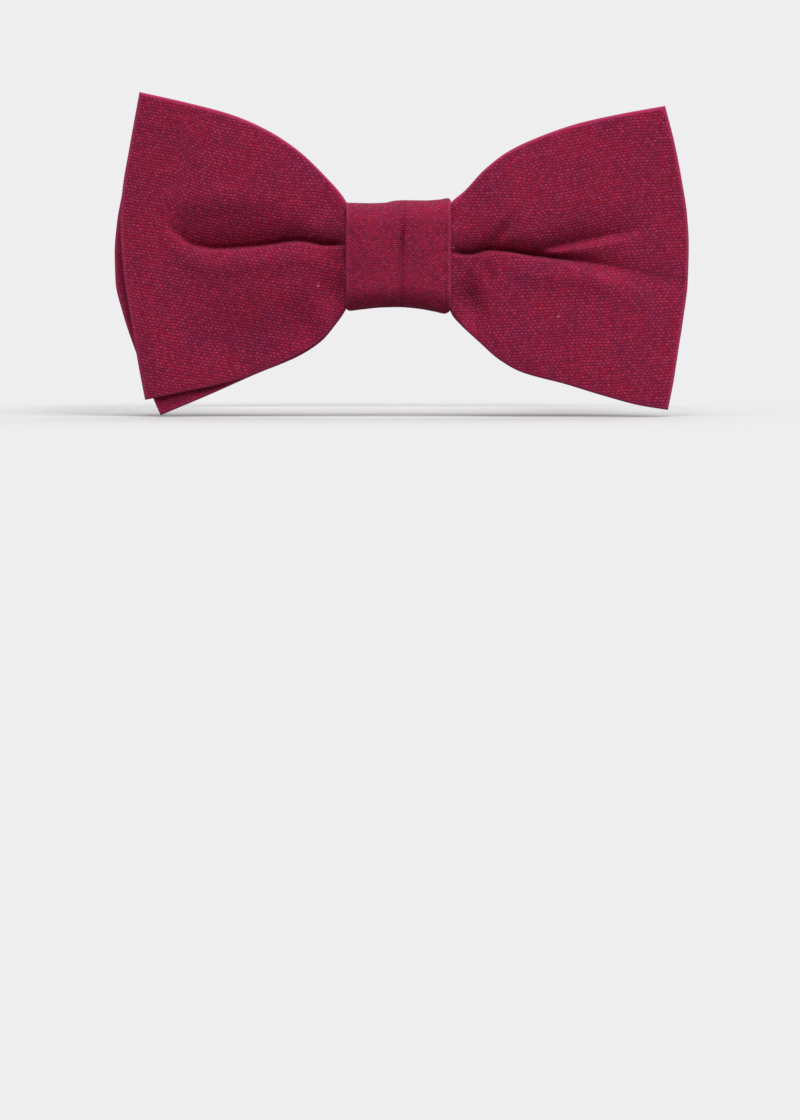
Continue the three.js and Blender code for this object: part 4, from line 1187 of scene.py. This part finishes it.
class BOWTIE_OT_sew_band(bpy.types.Operator):
    """Make the neck band, its return run and its sewn end, with their stitching"""

    bl_idname = "bow_tie.sew_band"
    bl_label = "Sew the neck band"

    def execute(self, context):
        material = linen("linen_band", BAND_WARP_PITCH * MM, BAND_WEFT_PITCH * MM, 0.8, 0.08)
        thread = sewing_thread("burgundy_thread", context.scene.tie_colours.thread)
        radius = context.scene.band_sizes.stitch_radius / MM
        straps = (("band_strap", band_path(), "neck_band", "bow_and_band",
                   ["knot_wrap_linen", "hook", "eye"]),
                  ("band_return_strap", return_path(), "neck_band_return_run", None, ["hook"]),
                  ("band_sewn_end", sewn_path(), "neck_band_sewn_end", "slider", ["slider"]))
        for name, points, node, body, rests_on in straps:
            stitching = ThreadWork()
            edge_stitches(stitching, points, radius)
            strap = strap_piece(name, points, material)
            rows = stitching.piece(f"{name}_stitching", thread)
            for piece in (strap, rows):
                if body:
                    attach(piece, body)
                else:
                    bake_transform(piece)
            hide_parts(node)
        eye_tack, slider_tack = ThreadWork(), ThreadWork()
        low, high = box_mm("eye_bar_tack")
        satin_tack(eye_tack, ((low[0] + high[0]) / 2, high[1] + TACK_LIFT, 0), (1, 0, 0),
                   high[0] - low[0], high[2] - low[2], radius, (0, -1, 0))
        low, high = box_mm("slider_bar_tack")
        satin_tack(slider_tack, (low[0] - TACK_LIFT, (low[1] + high[1]) / 2, 0), (0, 1, 0),
                   high[1] - low[1], high[2] - low[2], radius, (1, 0, 0))
        for work, name, node, body in ((eye_tack, "eye_tack", "eye_bar_tack", "bow_and_band"),
                                       (slider_tack, "slider_tack", "slider_bar_tack", "slider")):
            piece = work.piece(name, thread)
            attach(piece, body)
            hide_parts(node)
        return {"FINISHED"}


class BOWTIE_OT_sew_label(bpy.types.Operator):
    """Make the blank care label and its stitches"""

    bl_idname = "bow_tie.sew_label"
    bl_label = "Sew the label"

    def execute(self, context):
        low, high = box_mm("care_label")
        face = SIDE_X - STRAP_THICKNESS / 2
        half_length, half_height = (high[1] - low[1]) / 2, high[2]
        middle_y = (low[1] + high[1]) / 2
        rim = np.array(RIM) * 0.25
        inner_length, inner_height = half_length - LABEL_RIM, half_height - LABEL_RIM
        y = with_rims(half_length, rim, np.linspace(-inner_length, inner_length, LABEL_COLUMNS))[None, :]
        z = with_rims(half_height, rim, np.linspace(-inner_height, inner_height, LABEL_ROWS))[:, None]
        end = half_length - np.abs(y)
        ripple = 0.05 * np.sin(z * 1.1 + 0.6) * ramp(end, 1, 4)
        puff = 0.28 * ramp(end, 1.2, 5) + ripple + 0.06 * bell(end - 2.2, 0.5)
        edge = np.minimum(end, half_height - np.abs(z))
        half = (0.15 + 0.07 * (1 - ramp(end, 2.0, 2.6))) * turned_edge(edge, rim[-1])
        middle = face - 0.24 - puff

        def side(offset):
            return np.stack((middle + offset, middle_y + y + 0 * z, z + 0 * y), -1)

        cloth = np.stack((y + 0 * z, z + 0 * y, np.minimum(edge, 5)), -1)
        label = closed_sheet("label", side(half), side(-half), cloth, woven_label("label_satin"))
        stitches = ThreadWork()
        lift = face - 0.46 - 0.1 * np.sin(np.linspace(0, math.pi, 4))
        for place in (middle_y - half_length + LABEL_SEAM, middle_y + half_length - LABEL_SEAM):
            for k in range(LABEL_STITCHES):
                heights = -half_height + 0.9 + k * LABEL_STITCH_STEP + np.linspace(0, LABEL_STITCH_LENGTH, 4)
                stitches.run(np.stack((lift, np.full(4, place), heights), -1), LABEL_THREAD_RADIUS, sides=6)
        sewing = stitches.piece(
            "label_stitches", sewing_thread("pale_thread", context.scene.tie_colours.label_thread))
        for piece in (label, sewing):
            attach(piece, "bow_and_band")
        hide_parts("care_label")
        return {"FINISHED"}


# ---- The metal ----
SAME_PLACE = 0.001 * MM
FLAT_ANGLE = math.radians(2)  # faces that meet at less are one flat face
EDGE_ANGLE = math.radians(32)  # edges that are sharper are rounded
SHARP_ANGLE = math.radians(38)  # edges that are sharper stay sharp in the shading


class BOWTIE_OT_fit_metal(bpy.types.Operator):
    """Make the slider, the hook and the eye, with softened edges"""

    bl_idname = "bow_tie.fit_metal"
    bl_label = "Fit the metal"

    def execute(self, context):
        plate = nickel("satin_nickel")
        rounding = context.scene.band_sizes.metal_edge
        for node in ("slider", "hook", "eye"):
            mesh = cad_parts[node].data.copy()
            mesh.name = f"{node}_plate"
            work = bmesh.new()
            work.from_mesh(mesh)
            bmesh.ops.remove_doubles(work, verts=work.verts, dist=SAME_PLACE)
            bmesh.ops.dissolve_limit(work, angle_limit=FLAT_ANGLE, verts=work.verts, edges=work.edges)
            edges = [e for e in work.edges if e.is_manifold and e.calc_face_angle(0) > EDGE_ANGLE]
            bmesh.ops.bevel(work, geom=edges, offset=rounding, segments=2, profile=0.6, affect="EDGES",
                            clamp_overlap=True)
            work.to_mesh(mesh)
            work.free()
            mesh.shade_smooth()
            mesh.set_sharp_from_angle(angle=SHARP_ANGLE)
            mesh.materials.clear()
            mesh.materials.append(plate)
            piece = bpy.data.objects.new(f"{node}_plate", mesh)
            context.scene.collection.objects.link(piece)
            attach(piece, node)
            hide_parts(node)
        return {"FINISHED"}


# ---- The stage ----
def place_sun(name, direction, width, strength):
    """A far, wide light. Gives back how much of its light falls on the floor."""
    light = bpy.data.lights.new(name, "SUN")
    light.energy = strength
    light.angle = math.radians(width)
    lamp = bpy.data.objects.new(name, light)
    lamp.rotation_euler = Vector(direction).to_track_quat("Z", "Y").to_euler()
    bpy.context.scene.collection.objects.link(lamp)
    return strength * direction[2] / math.pi


def floor_material(settings, floor_light):
    """Matt floor: the camera sees the backdrop's tone on it, and the pieces get little light from it."""
    material, w, shader = new_material("matt_floor")
    grit = w.noise(w.node("ShaderNodeTexCoord").outputs["Object"], 90.0, 4.0)
    seen = w.vector_math("SCALE", tuple(settings.backdrop), scale=1 / floor_light)
    seen = w.vector_math("SCALE", seen, scale=w.spread(grit, 0.0, 1.0, 0.99, 1.01))
    dim = w.vector_math("SCALE", tuple(settings.backdrop), scale=settings.room_strength / floor_light)
    by_camera = w.node("ShaderNodeLightPath").outputs["Is Camera Ray"]
    tone = w.mixed(by_camera, dim, seen)
    fill(w, shader, {"Base Color": tone, "Roughness": 1.0, "Specular IOR Level": 0.0})
    return material


def lay_floor(material):
    height = min(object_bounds()[0].z, cad_box[0].z) - FLOOR_GAP
    turn = np.arange(FLOOR_SIDES) * 2 * math.pi / FLOOR_SIDES
    ring = [(FLOOR_RADIUS * math.cos(a), FLOOR_RADIUS * math.sin(a), height) for a in turn]
    mesh = bpy.data.meshes.new("floor")
    mesh.from_pydata(ring, [], [range(FLOOR_SIDES)])
    mesh.materials.append(material)
    floor = bpy.data.objects.new("floor", mesh)
    bpy.context.scene.collection.objects.link(floor)
    floor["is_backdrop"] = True


def room_light(settings):
    """Even light from all round, with the backdrop's tone where the camera sees it."""
    world = bpy.data.worlds.new("room_light")
    world.use_nodes = True
    w = Wiring(world.node_tree)
    by_camera = w.node("ShaderNodeLightPath").outputs["Is Camera Ray"]
    room = (settings.room_strength,) * 3 + (1.0,)
    fill(w, world.node_tree.nodes["Background"], {"Color": w.mixed(by_camera, room, rgba(settings.backdrop))})
    return world


def place_camera():
    camera = bpy.data.cameras.new("camera")
    camera.lens = CAMERA_LENS
    camera.sensor_width = CAMERA_SENSOR
    camera.clip_start = 0.05
    camera.clip_end = 50
    stand = bpy.data.objects.new("camera", camera)
    stand.location = (CAMERA_SIDE, -CAMERA_DISTANCE + WRAP_LOW[1] * MM, 0)
    stand.rotation_euler = (math.radians(90 - CAMERA_TILT), 0, 0)
    bpy.context.scene.collection.objects.link(stand)
    return stand


class BOWTIE_OT_lay_stage(bpy.types.Operator):
    """Make the floor, the light and the camera"""

    bl_idname = "bow_tie.lay_stage"
    bl_label = "Lay the stage"

    def execute(self, context):
        settings = context.scene.stage_settings
        floor_light = settings.room_strength
        for (name, direction, width), strength in zip(LAMPS, (settings.key_strength, settings.back_strength)):
            floor_light += place_sun(name, direction, width, strength)
        lay_floor(floor_material(settings, floor_light))
        context.scene.world = room_light(settings)
        context.scene.view_settings.view_transform = "Standard"
        context.scene.camera = place_camera()
        return {"FINISHED"}


class BOWTIE_PT_pieces(bpy.types.Panel):
    """The bow tie's pieces, in the order in which they are made"""

    bl_idname = "BOWTIE_PT_pieces"
    bl_label = "Bow Tie"
    bl_space_type = "VIEW_3D"
    bl_region_type = "UI"
    bl_category = "Bow Tie"

    def draw(self, context):
        layout = self.layout
        for operator in OPERATORS:
            layout.operator(operator.bl_idname)
        for name in SETTINGS:
            group = getattr(context.scene, name)
            box = layout.box()
            for prop in group.bl_rna.properties:
                if prop.identifier not in {"rna_type", "name"}:
                    box.prop(group, prop.identifier)


OPERATORS = (
    BOWTIE_OT_gather_bows,
    BOWTIE_OT_wrap_knot,
    BOWTIE_OT_bind_pleats,
    BOWTIE_OT_sew_band,
    BOWTIE_OT_sew_label,
    BOWTIE_OT_fit_metal,
    BOWTIE_OT_lay_stage,
)
SETTINGS = {
    "bow_sizes": BowSizes,
    "knot_sizes": KnotSizes,
    "band_sizes": BandSizes,
    "tie_colours": TieColours,
    "stage_settings": StageSettings,
}


def register():
    for group in SETTINGS.values():
        bpy.utils.register_class(group)
    for name, group in SETTINGS.items():
        setattr(bpy.types.Scene, name, bpy.props.PointerProperty(type=group))
    for made in (*OPERATORS, BOWTIE_PT_pieces):
        bpy.utils.register_class(made)


def unregister():
    for made in (BOWTIE_PT_pieces, *reversed(OPERATORS)):
        bpy.utils.unregister_class(made)
    for name, group in reversed(SETTINGS.items()):
        delattr(bpy.types.Scene, name)
        bpy.utils.unregister_class(group)


def main():
    register()
    bpy.ops.bow_tie.gather_bows()
    bpy.ops.bow_tie.wrap_knot()
    bpy.ops.bow_tie.bind_pleats()
    bpy.ops.bow_tie.sew_band()
    bpy.ops.bow_tie.sew_label()
    bpy.ops.bow_tie.fit_metal()
    bpy.ops.bow_tie.lay_stage()
    bpy.context.view_layer.update()


if __name__ == "__main__":
    main()
